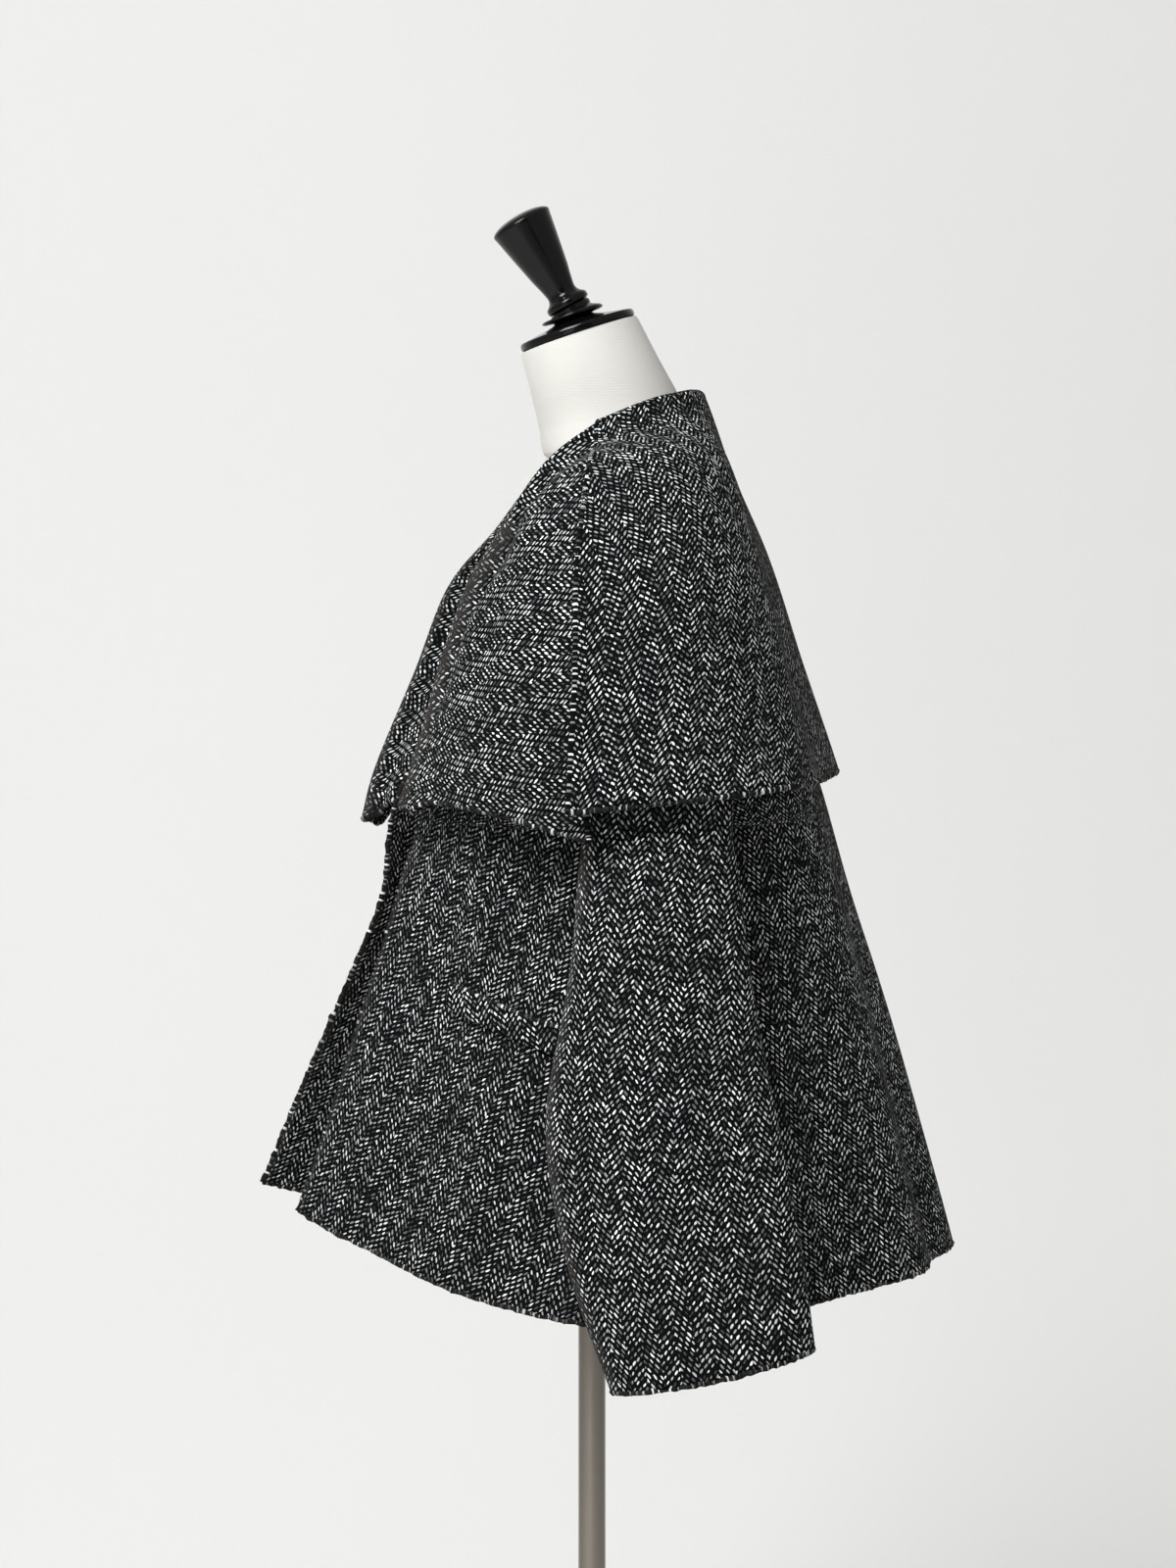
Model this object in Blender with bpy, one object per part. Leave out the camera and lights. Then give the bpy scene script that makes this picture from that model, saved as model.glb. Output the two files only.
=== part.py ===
"""Wool cape coat on a limbless dress form.

The coat is open at the front and hangs from the shoulders of the form. Its big cape
collar falls over the tops of wide, empty sleeves. Every piece of cloth is a wall of its
own, worked out from the tables of sections below. Metres, +Z up, the front faces -Y, the
wearer's left is +X. The origin is the middle of the underside of the base plate.
"""
import math

import bmesh
import bpy
import numpy as np

# Cloth walls and the gaps between pieces.
BODY_WALL = 0.0028
SLEEVE_WALL = 0.0028
COLLAR_WALL = 0.0036
WELT_WALL = 0.0026
SEAM = 0.0004
SEAT = 0.0005
NECK_SEAM = 0.0014
LAPEL_SEAM = 0.0017
STAND_START = 0.0006
SEAM_THINNING = (0.32, 0.42, 0.55, 0.75)

# How finely each piece is divided.
BACK_COLUMNS = 18
FRONT_COLUMNS = 9
ARMHOLE_STEPS = 10
SLEEVE_ROWS = 14
COLLAR_BACK_COLUMNS = 22
LAPEL_COLUMNS = 13
SECTION_POINTS = 15
FORM_SIDES = 28

# Body of the coat, one row for each level. Heights are taken at the side seam, where the
# section is half_width from the middle. The back and the front edge rise from there.
BODY_LEVELS = (
    ("height", "half_width", "side_y", "back_y", "back_rise", "edge_x", "edge_y",
     "edge_rise", "edge_turn", "right_forward"),
    (0.700, 0.236, 0.045, 0.285, 0.028, 0.080, -0.232, 0.066, 48.0, 0.040),
    (0.800, 0.218, 0.045, 0.260, 0.022, 0.068, -0.204, 0.048, 44.0, 0.034),
    (0.900, 0.203, 0.045, 0.236, 0.016, 0.057, -0.179, 0.030, 40.0, 0.023),
    (1.000, 0.190, 0.045, 0.211, 0.010, 0.049, -0.155, 0.012, 34.0, 0.016),
    (1.070, 0.184, 0.045, 0.191, 0.006, 0.046, -0.137, 0.002, 28.0, 0.018),
    (1.150, 0.186, 0.044, 0.166, 0.005, 0.064, -0.114, 0.000, 24.0, 0.018),
    (1.220, 0.186, 0.042, 0.145, 0.010, 0.076, -0.095, 0.000, 20.0, 0.014),
    (1.280, 0.183, 0.037, 0.124, 0.015, 0.083, -0.068, 0.002, 16.0, 0.006),
    (1.325, 0.170, 0.030, 0.103, 0.018, 0.085, -0.034, 0.002, 12.0, 0.001),
    (1.352, 0.120, 0.021, 0.091, 0.018, 0.081, -0.012, 0.002, 6.0, 0.000),
    (1.375, 0.076, 0.012, 0.082, 0.016, 0.071, -0.001, 0.001, 0.0, 0.000),
)
ARMHOLE_BOTTOM = 1.070
SHOULDER_TIP = 1.325
NECK_LEVEL = 1.375
ARMHOLE_INTO_BACK = 0.30
ARMHOLE_INTO_FRONT = 0.32
FRONT_NECK_START = 1.330
FRONT_NECK_CUT = 0.55
EDGE_REACH = 1.15
RISE_POWER = 1.6
NORMAL_STEP = 0.004
SHORTEST_ROW = 0.02
BODY_HEIGHTS_BELOW = (0.700, 0.750, 0.810, 0.875, 0.940, 1.000, 1.040)
BODY_HEIGHTS_ABOVE = (1.339, 1.352, 1.364, 1.375)

# Left sleeve, one row for each ring below the armhole. Outer and inner are the ends of the
# ring across the arm, front_y and back_y its reach fore and aft.
SLEEVE_RINGS = (
    ("along", "outer_x", "outer_z", "inner_x", "inner_z", "front_y", "back_y",
     "front_drop", "back_drop"),
    (0.10, 0.196, 1.298, 0.1915, 1.062, -0.026, 0.108, 0.000, 0.000),
    (0.20, 0.211, 1.248, 0.1945, 1.052, -0.022, 0.108, 0.000, 0.000),
    (0.32, 0.229, 1.170, 0.1970, 1.034, -0.013, 0.108, 0.000, 0.000),
    (0.44, 0.245, 1.090, 0.2000, 1.004, -0.012, 0.112, 0.000, 0.000),
    (0.60, 0.267, 0.965, 0.2090, 0.928, -0.025, 0.124, -0.002, 0.002),
    (0.74, 0.286, 0.862, 0.2200, 0.850, -0.036, 0.137, -0.006, 0.006),
    (0.87, 0.304, 0.762, 0.2345, 0.762, -0.018, 0.152, -0.010, 0.012),
    (1.00, 0.320, 0.676, 0.2460, 0.676, 0.014, 0.164, -0.014, 0.018),
)
SLEEVE_HEAD = 0.10
SLEEVE_RISE = 0.004

# Left half of the collar's back piece, one row for each section from the centre back to
# the collar's side seam: the neck edge it grows from, the roll at its top, two points down
# the fall and the hem.
COLLAR_BACK = (
    ("station", "neck_u", "roll_x", "roll_y", "roll_z", "roll_radius",
     "over_x", "over_y", "over_z", "up_x", "up_y", "up_z",
     "low_x", "low_y", "low_z", "hem_x", "hem_y", "hem_z"),
    (0.0, 0.00, 0.000, 0.0840, 1.416, 0.0085,
     0.000, 0.112, 1.352, 0.000, 0.139, 1.286, 0.000, 0.168, 1.190, 0.000, 0.197, 1.108),
    (1.0, 0.36, 0.038, 0.0740, 1.414, 0.0085,
     0.084, 0.104, 1.360, 0.114, 0.126, 1.290, 0.132, 0.150, 1.189, 0.138, 0.171, 1.106),
    (2.0, 0.70, 0.066, 0.0450, 1.406, 0.0085,
     0.142, 0.064, 1.361, 0.196, 0.080, 1.294, 0.228, 0.092, 1.186, 0.238, 0.104, 1.101),
    (3.0, 1.00, 0.0785, 0.0040, 1.389, 0.0080,
     0.160, -0.002, 1.356, 0.221, -0.012, 1.284, 0.257, -0.014, 1.182, 0.272, -0.020, 1.090),
)

# Left lapel, from the same seam to the break point at the front. Its inner leaf grows from
# the front edge of the coat at edge_height. lean is the way its rolled edge points.
LAPEL = (
    ("station", "neck_u", "edge_height", "roll_x", "roll_y", "roll_z", "roll_radius",
     "lean_x", "lean_y", "lean_z", "over_x", "over_y", "over_z",
     "up_x", "up_y", "up_z", "low_x", "low_y", "low_z", "hem_x", "hem_y", "hem_z",
     "right_forward", "right_drop"),
    (0.0, 1.60, 1.375, 0.0785, 0.0024, 1.388, 0.0078, -0.06, -0.05, 1.00, 0.160, -0.0042, 1.355,
     0.221, -0.0144, 1.283, 0.2515, -0.0164, 1.181, 0.2630, -0.006, 1.069, 0.000, 0.000),
    (1.0, 2.00, 1.346, 0.0870, -0.0375, 1.355, 0.0075, -0.25, -0.80, 0.55, 0.140, -0.048, 1.322,
     0.190, -0.056, 1.254, 0.228, -0.056, 1.166, 0.234, -0.048, 1.080, 0.003, 0.000),
    (2.0, 2.00, 1.312, 0.0920, -0.0720, 1.305, 0.0095, -0.30, -0.85, 0.40, 0.128, -0.074, 1.278,
     0.162, -0.080, 1.222, 0.192, -0.085, 1.152, 0.194, -0.084, 1.087, 0.008, 0.000),
    (3.0, 2.00, 1.262, 0.0930, -0.1020, 1.258, 0.0110, -0.36, -0.92, 0.16, 0.118, -0.098, 1.236,
     0.140, -0.103, 1.190, 0.156, -0.106, 1.138, 0.156, -0.108, 1.090, 0.018, 0.002),
    (4.0, 2.00, 1.196, 0.0850, -0.1240, 1.192, 0.0110, -0.42, -0.90, 0.08, 0.104, -0.118, 1.178,
     0.114, -0.120, 1.150, 0.122, -0.121, 1.118, 0.126, -0.123, 1.090, 0.024, 0.008),
    (5.0, 2.00, 1.128, 0.0760, -0.1410, 1.126, 0.0095, -0.45, -0.89, 0.05, 0.094, -0.133, 1.117,
     0.100, -0.132, 1.106, 0.105, -0.131, 1.096, 0.108, -0.1315, 1.087, 0.037, 0.016),
    (6.0, 2.00, 1.081, 0.0660, -0.1510, 1.085, 0.0070, -0.45, -0.89, 0.05, 0.082, -0.1440, 1.0820,
     0.086, -0.1425, 1.0812, 0.090, -0.1410, 1.0804, 0.094, -0.1395, 1.0796, 0.038, 0.018),
)

# Where the collar's back piece ends, just behind the seam to the lapel.
COLLAR_SEAM = 2.985
COLLAR_LEAN = 0.05

# Turns of the collar's rolled edge, the knot that ends it and its share of the points.
ROLL_TURNS = (-90, -45, 0, 45, 90)
ROLL_END = 6
ROLL_SHARE = 0.4

# Pocket welt on the left front: where its mouth runs on the panel, and its height.
WELT_FRONT_END = (1.66, 0.938)
WELT_SIDE_END = (1.16, 0.914)
WELT_HEIGHT = 0.022
WELT_COLUMNS = 9
WELT_ROWS = 4

# Dress form. Its shoulders are worked out from the coat's shoulder seam, which rests there.
FORM_RINGS = (
    ("height", "half_width", "front_y", "back_y", "tilt"),
    (0.772, 0.138, -0.070, 0.094, 0.0),
    (0.778, 0.147, -0.078, 0.102, 0.0),
    (0.795, 0.154, -0.084, 0.110, 0.0),
    (0.860, 0.163, -0.091, 0.118, 0.0),
    (0.930, 0.146, -0.084, 0.104, 0.0),
    (1.000, 0.114, -0.069, 0.078, 0.0),
    (1.050, 0.121, -0.080, 0.083, 0.0),
    (1.100, 0.133, -0.098, 0.093, 0.0),
    (1.150, 0.145, -0.104, 0.101, 0.0),
    (1.200, 0.154, -0.094, 0.106, 0.0),
    (1.250, 0.160, -0.074, 0.103, 0.0),
    (1.295, 0.160, -0.050, 0.095, 0.0),
)
SHOULDER_REACH = 0.150
SHOULDER_DEPTHS = (
    ("coat_level", "front_y", "back_y", "tilt"),
    (1.325, -0.027, 0.085, 0.0),
    (1.352, -0.021, 0.080, 4.0),
    (1.375, -0.039, 0.079, 8.0),
)
NECK_RINGS = (
    ("height", "centre_y", "radius", "tilt"),
    (1.394, 0.0150, 0.0570, 12.0),
    (1.425, 0.0030, 0.0515, 16.0),
    (1.4600, -0.0105, 0.0468, 18.3),
)
RING_POWER = 2.15
NECK_POWER = 2.0

# Neck cap and knob, turned profiles of radius, height above the neck's flat top and lean.
# The cap's rings lean further forward toward its top, where the knob stands.
NECK_LEAN = 18.3
CAP_PROFILE = (
    (0.0450, 0.0000, 18.3), (0.0478, 0.0012, 18.3), (0.0480, 0.0050, 18.3),
    (0.0470, 0.0066, 18.3), (0.0300, 0.0098, 18.3), (0.0190, 0.0120, 18.3),
    (0.0160, 0.0138, 18.3), (0.0240, 0.0148, 18.3), (0.0257, 0.0156, 18.3),
    (0.0257, 0.0170, 18.3), (0.0245, 0.0180, 19.5), (0.0176, 0.0196, 23.0),
    (0.0172, 0.0206, 25.0), (0.0172, 0.0222, 27.5), (0.0160, 0.0232, 30.0),
)
KNOB_LEAN = 30.0
KNOB_PROFILE = (
    (0.0165, 0.0000), (0.0180, 0.0014), (0.0180, 0.0050), (0.0165, 0.0068),
    (0.0135, 0.0092), (0.0123, 0.0125), (0.0130, 0.0170), (0.0165, 0.0320), (0.0205, 0.0520),
    (0.0246, 0.0740), (0.0254, 0.0772), (0.0251, 0.0788), (0.0222, 0.0815), (0.0150, 0.0838),
)
TURNED_SIDES = 24

# Pole and base plate.
POLE_RADIUS = 0.011
BASE_RADIUS = 0.190
BASE_THICKNESS = 0.014
BASE_BEVEL = 0.003

# Plain colours, roughness and metallic values of the finishes.
FINISHES = {
    "wool": ((0.055, 0.056, 0.060), 0.95, 0.0),
    "wool welt": ((0.075, 0.076, 0.080), 0.95, 0.0),
    "cream cover": ((0.83, 0.81, 0.74), 0.85, 0.0),
    "black gloss": ((0.006, 0.006, 0.007), 0.12, 0.0),
    "chrome": ((0.72, 0.70, 0.68), 0.10, 1.0),
}


def column(table, name):
    """Give one named column of a table."""
    place = table[0].index(name)
    return [row[place] for row in table[1:]]


def columns(table, *names):
    """Give several named columns side by side, a row for each row of the table."""
    return np.array([column(table, name) for name in names]).T


def smooth(keys, values, at):
    """Read a smooth curve that passes through the values given at the keys."""
    keys = np.asarray(keys, float)
    values = np.asarray(values, float)
    slopes = np.gradient(values, keys, axis=0)
    place = int(np.clip(np.searchsorted(keys, at) - 1, 0, len(keys) - 2))
    span = keys[place + 1] - keys[place]
    t = (min(max(at, keys[0]), keys[-1]) - keys[place]) / span
    bend = t * t * (3 - 2 * t)
    start = t * (1 - t) ** 2 * span * slopes[place]
    end = t * t * (t - 1) * span * slopes[place + 1]
    return values[place] * (1 - bend) + values[place + 1] * bend + start + end


def read(table, key, names, at):
    """Read named columns of a table at any value of its key column."""
    return smooth(column(table, key), columns(table, *names), at)


def unit(vector):
    """Scale a vector to length one."""
    vector = np.asarray(vector, float)
    return vector / np.linalg.norm(vector)


def mirrored(grid):
    """Give the same points on the wearer's other side."""
    return np.asarray(grid) * np.array([-1.0, 1.0, 1.0])


def grid_normals(grid, closed):
    """Give the unit normal at each point of a grid of rows by columns."""
    down = np.gradient(grid, axis=0)
    if closed:
        across = np.roll(grid, -1, axis=1) - np.roll(grid, 1, axis=1)
    else:
        across = np.gradient(grid, axis=1)
    normals = np.cross(across, down)
    return normals / np.linalg.norm(normals, axis=2, keepdims=True)


def finish(name):
    """Make or fetch the plain material of a finish."""
    if name in bpy.data.materials:
        return bpy.data.materials[name]
    colour, roughness, metallic = FINISHES[name]
    material = bpy.data.materials.new(name)
    material.use_nodes = True
    shader = material.node_tree.nodes["Principled BSDF"]
    shader.inputs["Base Color"].default_value = (*colour, 1.0)
    shader.inputs["Roughness"].default_value = roughness
    shader.inputs["Metallic"].default_value = metallic
    return material


def add_solid(name, points, faces, material, sharp_degrees=40.0):
    """Make one closed, outward-facing object from points and faces."""
    mesh = bpy.data.meshes.new(name)
    mesh.from_pydata([tuple(point) for point in points], [], faces)
    work = bmesh.new()
    work.from_mesh(mesh)
    bmesh.ops.recalc_face_normals(work, faces=work.faces[:])
    bmesh.ops.triangulate(work, faces=work.faces[:])
    work.to_mesh(mesh)
    work.free()
    mesh.shade_smooth()
    mesh.set_sharp_from_angle(angle=math.radians(sharp_degrees))
    solid = bpy.data.objects.new(name, mesh)
    bpy.context.collection.objects.link(solid)
    mesh.materials.append(finish(material))
    return solid


def add_cloth(name, outer, inner, material, closed=False):
    """Close the wall between an outer and an inner grid of points."""
    rows, count = outer.shape[:2]
    points = np.concatenate([outer.reshape(-1, 3), inner.reshape(-1, 3)])
    under = rows * count
    faces = []
    steps = count if closed else count - 1
    for row in range(rows - 1):
        for step in range(steps):
            a = row * count + step
            b = row * count + (step + 1) % count
            faces.append((a, b, b + count, a + count))
            faces.append((under + a, under + a + count, under + b + count, under + b))
    for step in range(steps):
        for row in (0, rows - 1):
            a = row * count + step
            b = row * count + (step + 1) % count
            faces.append((a, b, under + b, under + a))
    if not closed:
        for row in range(rows - 1):
            for step in (0, count - 1):
                a = row * count + step
                faces.append((a, a + count, under + a + count, under + a))
    return add_solid(name, points, faces, material)


def ease(t):
    """Go from 0 to 1, flat at the start."""
    return t ** RISE_POWER


def body_point(u, height):
    """Give a point of the left body. u is 0 centre back, 1 side seam, 2 front edge."""
    (half_width, side_y, back_y, back_rise, edge_x, edge_y, edge_rise,
     edge_turn) = read(BODY_LEVELS, "height", BODY_LEVELS[0][1:9], height)
    if u <= 1:
        angle = u * math.pi / 2
        x = half_width * math.sin(angle)
        y = side_y + (back_y - side_y) * math.cos(angle)
        return np.array([x, y, height + back_rise * math.cos(angle)])
    t = u - 1
    turn = math.radians(edge_turn)
    side = np.array([half_width, side_y])
    edge = np.array([edge_x, edge_y])
    reach = np.linalg.norm(edge - side) * EDGE_REACH
    leave = np.array([0.0, -1.0]) * reach
    arrive = np.array([-math.cos(turn), -math.sin(turn)]) * reach
    bend = t * t * (3 - 2 * t)
    x, y = (side * (1 - bend) + edge * bend + leave * t * (1 - t) ** 2
            - arrive * t * t * (1 - t))
    return np.array([x, y, height + edge_rise * ease(t)])


def front_point(u, height, right):
    """Give a point of a front. The right front stands further forward at its edge."""
    point = body_point(u, height)
    if right:
        forward = read(BODY_LEVELS, "height", ("right_forward",), height)[0]
        point[1] -= forward * ease(max(u - 1, 0.0))
    return point


def front_normal(u, height, right):
    """Give the outward direction of the body's surface."""
    step = NORMAL_STEP
    across = front_point(min(u + step, 2.0), height, right) - front_point(u - step, height,
                                                                          right)
    up = (front_point(u, min(height + step, NECK_LEVEL), right)
          - front_point(u, height - step, right))
    return unit(np.cross(up, across))


def body_rows():
    """Give the heights of the rows, with how far the armhole is open at each."""
    rows = [(height, 0.0) for height in BODY_HEIGHTS_BELOW]
    for step in range(ARMHOLE_STEPS + 1):
        angle = math.pi * step / ARMHOLE_STEPS
        height = ARMHOLE_BOTTOM + (SHOULDER_TIP - ARMHOLE_BOTTOM) * (1 - math.cos(angle)) / 2
        rows.append((height, math.sin(angle) if 0 < step < ARMHOLE_STEPS else 0.0))
    return rows + [(height, 0.0) for height in BODY_HEIGHTS_ABOVE]


def seam_shift(start, end, distance):
    """Give the change of u that moves an edge by a distance on the surface."""
    length = np.linalg.norm(np.asarray(end) - np.asarray(start))
    return distance / max(length, SHORTEST_ROW)


def back_grids():
    """Outer and inner points of the back, from the right side seam to the left one."""
    outer = []
    inner = []
    for height, open_share in body_rows():
        limit = 1 - ARMHOLE_INTO_BACK * open_share
        limit -= seam_shift(body_point(0, height), body_point(1, height), SEAM / 2)
        for step in range(BACK_COLUMNS + 1):
            u = limit * (2 * step / BACK_COLUMNS - 1)
            side = np.array([math.copysign(1, u), 1, 1])
            point = body_point(abs(u), height)
            outer.append(point * side)
            inner.append((point - front_normal(abs(u), height, False) * BODY_WALL) * side)
    shape = (-1, BACK_COLUMNS + 1, 3)
    return np.array(outer).reshape(shape), np.array(inner).reshape(shape)


def front_grids(right):
    """Outer and inner points of a front, from its side seam to its front edge."""
    outer = []
    inner = []
    for height, open_share in body_rows():
        start = 1 + ARMHOLE_INTO_FRONT * open_share
        start += seam_shift(body_point(1, height), body_point(2, height), SEAM / 2)
        end = 2 - FRONT_NECK_CUT * max(height - FRONT_NECK_START, 0.0) / (
            NECK_LEVEL - FRONT_NECK_START)
        for step in range(FRONT_COLUMNS + 1):
            u = start + (end - start) * step / FRONT_COLUMNS
            point = front_point(u, height, right)
            outer.append(point)
            inner.append(point - front_normal(u, height, right) * BODY_WALL)
    shape = (-1, FRONT_COLUMNS + 1, 3)
    return np.array(outer).reshape(shape), np.array(inner).reshape(shape)


def armhole_ring(right):
    """Give the edge of the armhole: up the front from the underarm, down the back."""
    ring = []
    for step in range(2 * ARMHOLE_STEPS):
        back = step > ARMHOLE_STEPS
        rung = 2 * ARMHOLE_STEPS - step if back else step
        angle = math.pi * rung / ARMHOLE_STEPS
        height = ARMHOLE_BOTTOM + (SHOULDER_TIP - ARMHOLE_BOTTOM) * (1 - math.cos(angle)) / 2
        share = math.sin(angle) if 0 < rung < ARMHOLE_STEPS else 0.0
        u = 1 - ARMHOLE_INTO_BACK * share if back else 1 + ARMHOLE_INTO_FRONT * share
        ring.append(front_point(u, height, right))
    return np.array(ring)


def sleeve_ring(along):
    """Give one ring of the sleeve below the armhole, with the armhole's own steps."""
    (outer_x, outer_z, inner_x, inner_z, front_y, back_y, front_drop,
     back_drop) = read(SLEEVE_RINGS, "along", SLEEVE_RINGS[0][1:], along)
    middle_y = (front_y + back_y) / 2
    reach = (back_y - front_y) / 2
    ring = []
    for step in range(2 * ARMHOLE_STEPS):
        angle = math.pi * step / ARMHOLE_STEPS
        out = (1 - math.cos(angle)) / 2
        side = math.sin(angle)
        drop = front_drop * max(side, 0) + back_drop * max(-side, 0)
        ring.append((inner_x + (outer_x - inner_x) * out, middle_y - reach * side,
                     inner_z + (outer_z - inner_z) * out + drop))
    return np.array(ring)


def sleeve_grid(right):
    """Outer points of a sleeve, rings from the armhole to the hem."""
    edge = armhole_ring(right)
    middle = edge.mean(axis=0)
    inward = middle - edge
    inward /= np.linalg.norm(inward, axis=1, keepdims=True)
    start = edge + inward * SEAM * 2
    proud = start + np.array([SLEEVE_RISE, 0, 0]) + inward * SEAM
    rings = [start, proud]
    for step in range(SLEEVE_ROWS):
        share = step / (SLEEVE_ROWS - 1)
        rings.append(sleeve_ring(SLEEVE_HEAD + (1 - SLEEVE_HEAD) * share))
    return np.array(rings)


def section_curve(neck, lean, roll, radius, fall):
    """Give the points of a collar section: inner leaf, rolled edge, fall and hem."""
    lean = unit(lean)
    across = fall[0] - roll
    across = unit(across - lean * across.dot(lean))
    knots = list(neck)
    for turn in ROLL_TURNS:
        angle = math.radians(turn)
        knots.append(roll - lean * radius * (1 - math.cos(angle))
                     + across * radius * math.sin(angle))
    knots = np.array(knots + list(fall))
    lengths = np.concatenate([[0], np.cumsum(np.linalg.norm(np.diff(knots, axis=0), axis=1))])
    return np.array([smooth(lengths, knots, share_at(lengths, step / (SECTION_POINTS - 1)))
                     for step in range(SECTION_POINTS)])


def share_at(lengths, share):
    """Turn a share of a section into a length along it, with the roll's own share."""
    roll_end = lengths[ROLL_END]
    if share <= ROLL_SHARE:
        return roll_end * share / ROLL_SHARE
    on_fall = (share - ROLL_SHARE) / (1 - ROLL_SHARE)
    return roll_end + (lengths[-1] - roll_end) * on_fall


def neck_seat(u, height, right, lift):
    """Give the first two points of the collar's inner leaf, above the edge of the body."""
    outward = front_normal(u, height, right)
    seat = front_point(u, height, right) + outward * lift
    return [seat, seat + outward * STAND_START]


def collar_back_section(station):
    """Give one section of the collar's back piece, left of the centre back."""
    values = read(COLLAR_BACK, "station", COLLAR_BACK[0][1:], station)
    neck = neck_seat(values[0], NECK_LEVEL, False, NECK_SEAM)
    lean = (-COLLAR_LEAN * station / COLLAR_BACK[-1][0], 0.0, 1.0)
    return section_curve(neck, lean, values[1:4], values[4], values[5:].reshape(-1, 3))


def collar_back_grid():
    """Outer points of the collar's back piece, from its right seam to its left one."""
    half = COLLAR_BACK_COLUMNS // 2
    left = [collar_back_section(COLLAR_SEAM * step / half) for step in range(half + 1)]
    return np.array([mirrored(section) for section in left[:0:-1]] + left)


def lapel_grid(right):
    """Outer points of a lapel, from the collar's side seam to the break point."""
    grid = []
    for step in range(LAPEL_COLUMNS + 1):
        station = LAPEL[-1][0] * step / LAPEL_COLUMNS
        values = read(LAPEL, "station", LAPEL[0][1:], station)
        forward = np.array([0.0, *values[-2:]]) if right else np.zeros(3)
        neck = neck_seat(min(values[0], 2.0), min(values[1], NECK_LEVEL), right,
                         LAPEL_SEAM)
        grid.append(section_curve(neck, values[6:9], values[2:5] - forward, values[5],
                                  values[9:-2].reshape(-1, 3) - forward))
    grid = np.array(grid)
    return mirrored(grid) if right else grid


def collar_walls():
    """Give the collar's wall at each point of a section, thinned to its neck seam."""
    walls = np.full((SECTION_POINTS, 1), COLLAR_WALL)
    walls[:len(SEAM_THINNING), 0] *= SEAM_THINNING
    return walls


def inset(grid, wall, closed=False, flip=False):
    """Give the grid moved in by the wall."""
    normals = grid_normals(grid, closed)
    return grid - normals * (-wall if flip else wall)


def add_body():
    """Make the back and the two fronts."""
    add_cloth("coat_back", *back_grids(), "wool")
    for side, right in (("left", False), ("right", True)):
        outer, inner = front_grids(right)
        if right:
            outer, inner = mirrored(outer), mirrored(inner)
        add_cloth("coat_front_" + side, outer, inner, "wool")


def add_sleeves():
    """Make the two sleeves."""
    for side, right in (("left", False), ("right", True)):
        grid = sleeve_grid(right)
        inner = inset(grid, SLEEVE_WALL, closed=True, flip=True)
        if right:
            grid, inner = mirrored(grid), mirrored(inner)
        add_cloth("sleeve_" + side, grid, inner, "wool", closed=True)


def add_collar():
    """Make the collar's back piece and the two lapels."""
    grid = collar_back_grid()
    add_cloth("collar_back", grid, inset(grid, collar_walls(), flip=True), "wool")
    for side, right in (("left", False), ("right", True)):
        grid = lapel_grid(right)
        add_cloth("lapel_" + side, grid, inset(grid, collar_walls(), flip=not right), "wool")


def add_welts():
    """Make the slanted pocket welts, from the points of the fronts, moved out."""
    for side, right in (("left", False), ("right", True)):
        grid = []
        for row in range(WELT_ROWS + 1):
            line = []
            for step in range(WELT_COLUMNS + 1):
                t = step / WELT_COLUMNS
                u = WELT_SIDE_END[0] + (WELT_FRONT_END[0] - WELT_SIDE_END[0]) * t
                height = WELT_SIDE_END[1] + (WELT_FRONT_END[1] - WELT_SIDE_END[1]) * t
                line.append(front_point(u, height - WELT_HEIGHT * row / WELT_ROWS, right))
            grid.append(line)
        normals = grid_normals(np.array(grid), False)
        inner = np.array(grid) + normals * SEAM
        outer = inner + normals * WELT_WALL
        if right:
            inner, outer = mirrored(inner), mirrored(outer)
        add_cloth("pocket_welt_" + side, outer, inner, "wool welt")


def tilted_ring(half_width, front_y, back_y, height, tilt, power):
    """Give a level ring of the form, tilted forward about its own middle."""
    middle = (front_y + back_y) / 2
    reach = (back_y - front_y) / 2
    slope = math.tan(math.radians(tilt))
    ring = []
    for step in range(FORM_SIDES):
        angle = 2 * math.pi * step / FORM_SIDES
        c, s = math.cos(angle), math.sin(angle)
        x = half_width * math.copysign(abs(c) ** (2 / power), c)
        y = reach * math.copysign(abs(s) ** (2 / power), s)
        ring.append((x, middle + y, height + y * slope))
    return ring


def shoulder_rings():
    """Give the form's shoulders, set just below the coat's shoulder seam."""
    drop = BODY_WALL + SEAT
    levels = column(SHOULDER_DEPTHS, "coat_level")
    seam = np.array([(read(BODY_LEVELS, "height", ("half_width",), level)[0], level)
                     for level in levels])
    slope = unit(seam[0] - seam[2])
    inward = np.array([slope[1], -slope[0]])
    rings = []
    depths = columns(SHOULDER_DEPTHS, "front_y", "back_y", "tilt")
    for level, (front_y, back_y, tilt) in enumerate(depths):
        width, height = seam[level] + inward * drop
        if level == 0:
            fall = (seam[1] - seam[0])[1] / (seam[0] - seam[1])[0]
            height += (width - SHOULDER_REACH) * fall
            width = SHOULDER_REACH
        rings.append(tilted_ring(width, front_y, back_y, height, tilt, RING_POWER))
    return rings


def add_form():
    """Make the torso with its neck."""
    rings = [tilted_ring(row[1], row[2], row[3], row[0], row[4], RING_POWER)
             for row in FORM_RINGS[1:]]
    rings += shoulder_rings()
    for height, centre_y, radius, tilt in NECK_RINGS[1:]:
        rings.append(tilted_ring(radius, centre_y - radius, centre_y + radius, height,
                                 tilt, NECK_POWER))
    add_stack("form_torso", rings, "cream cover")


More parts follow.
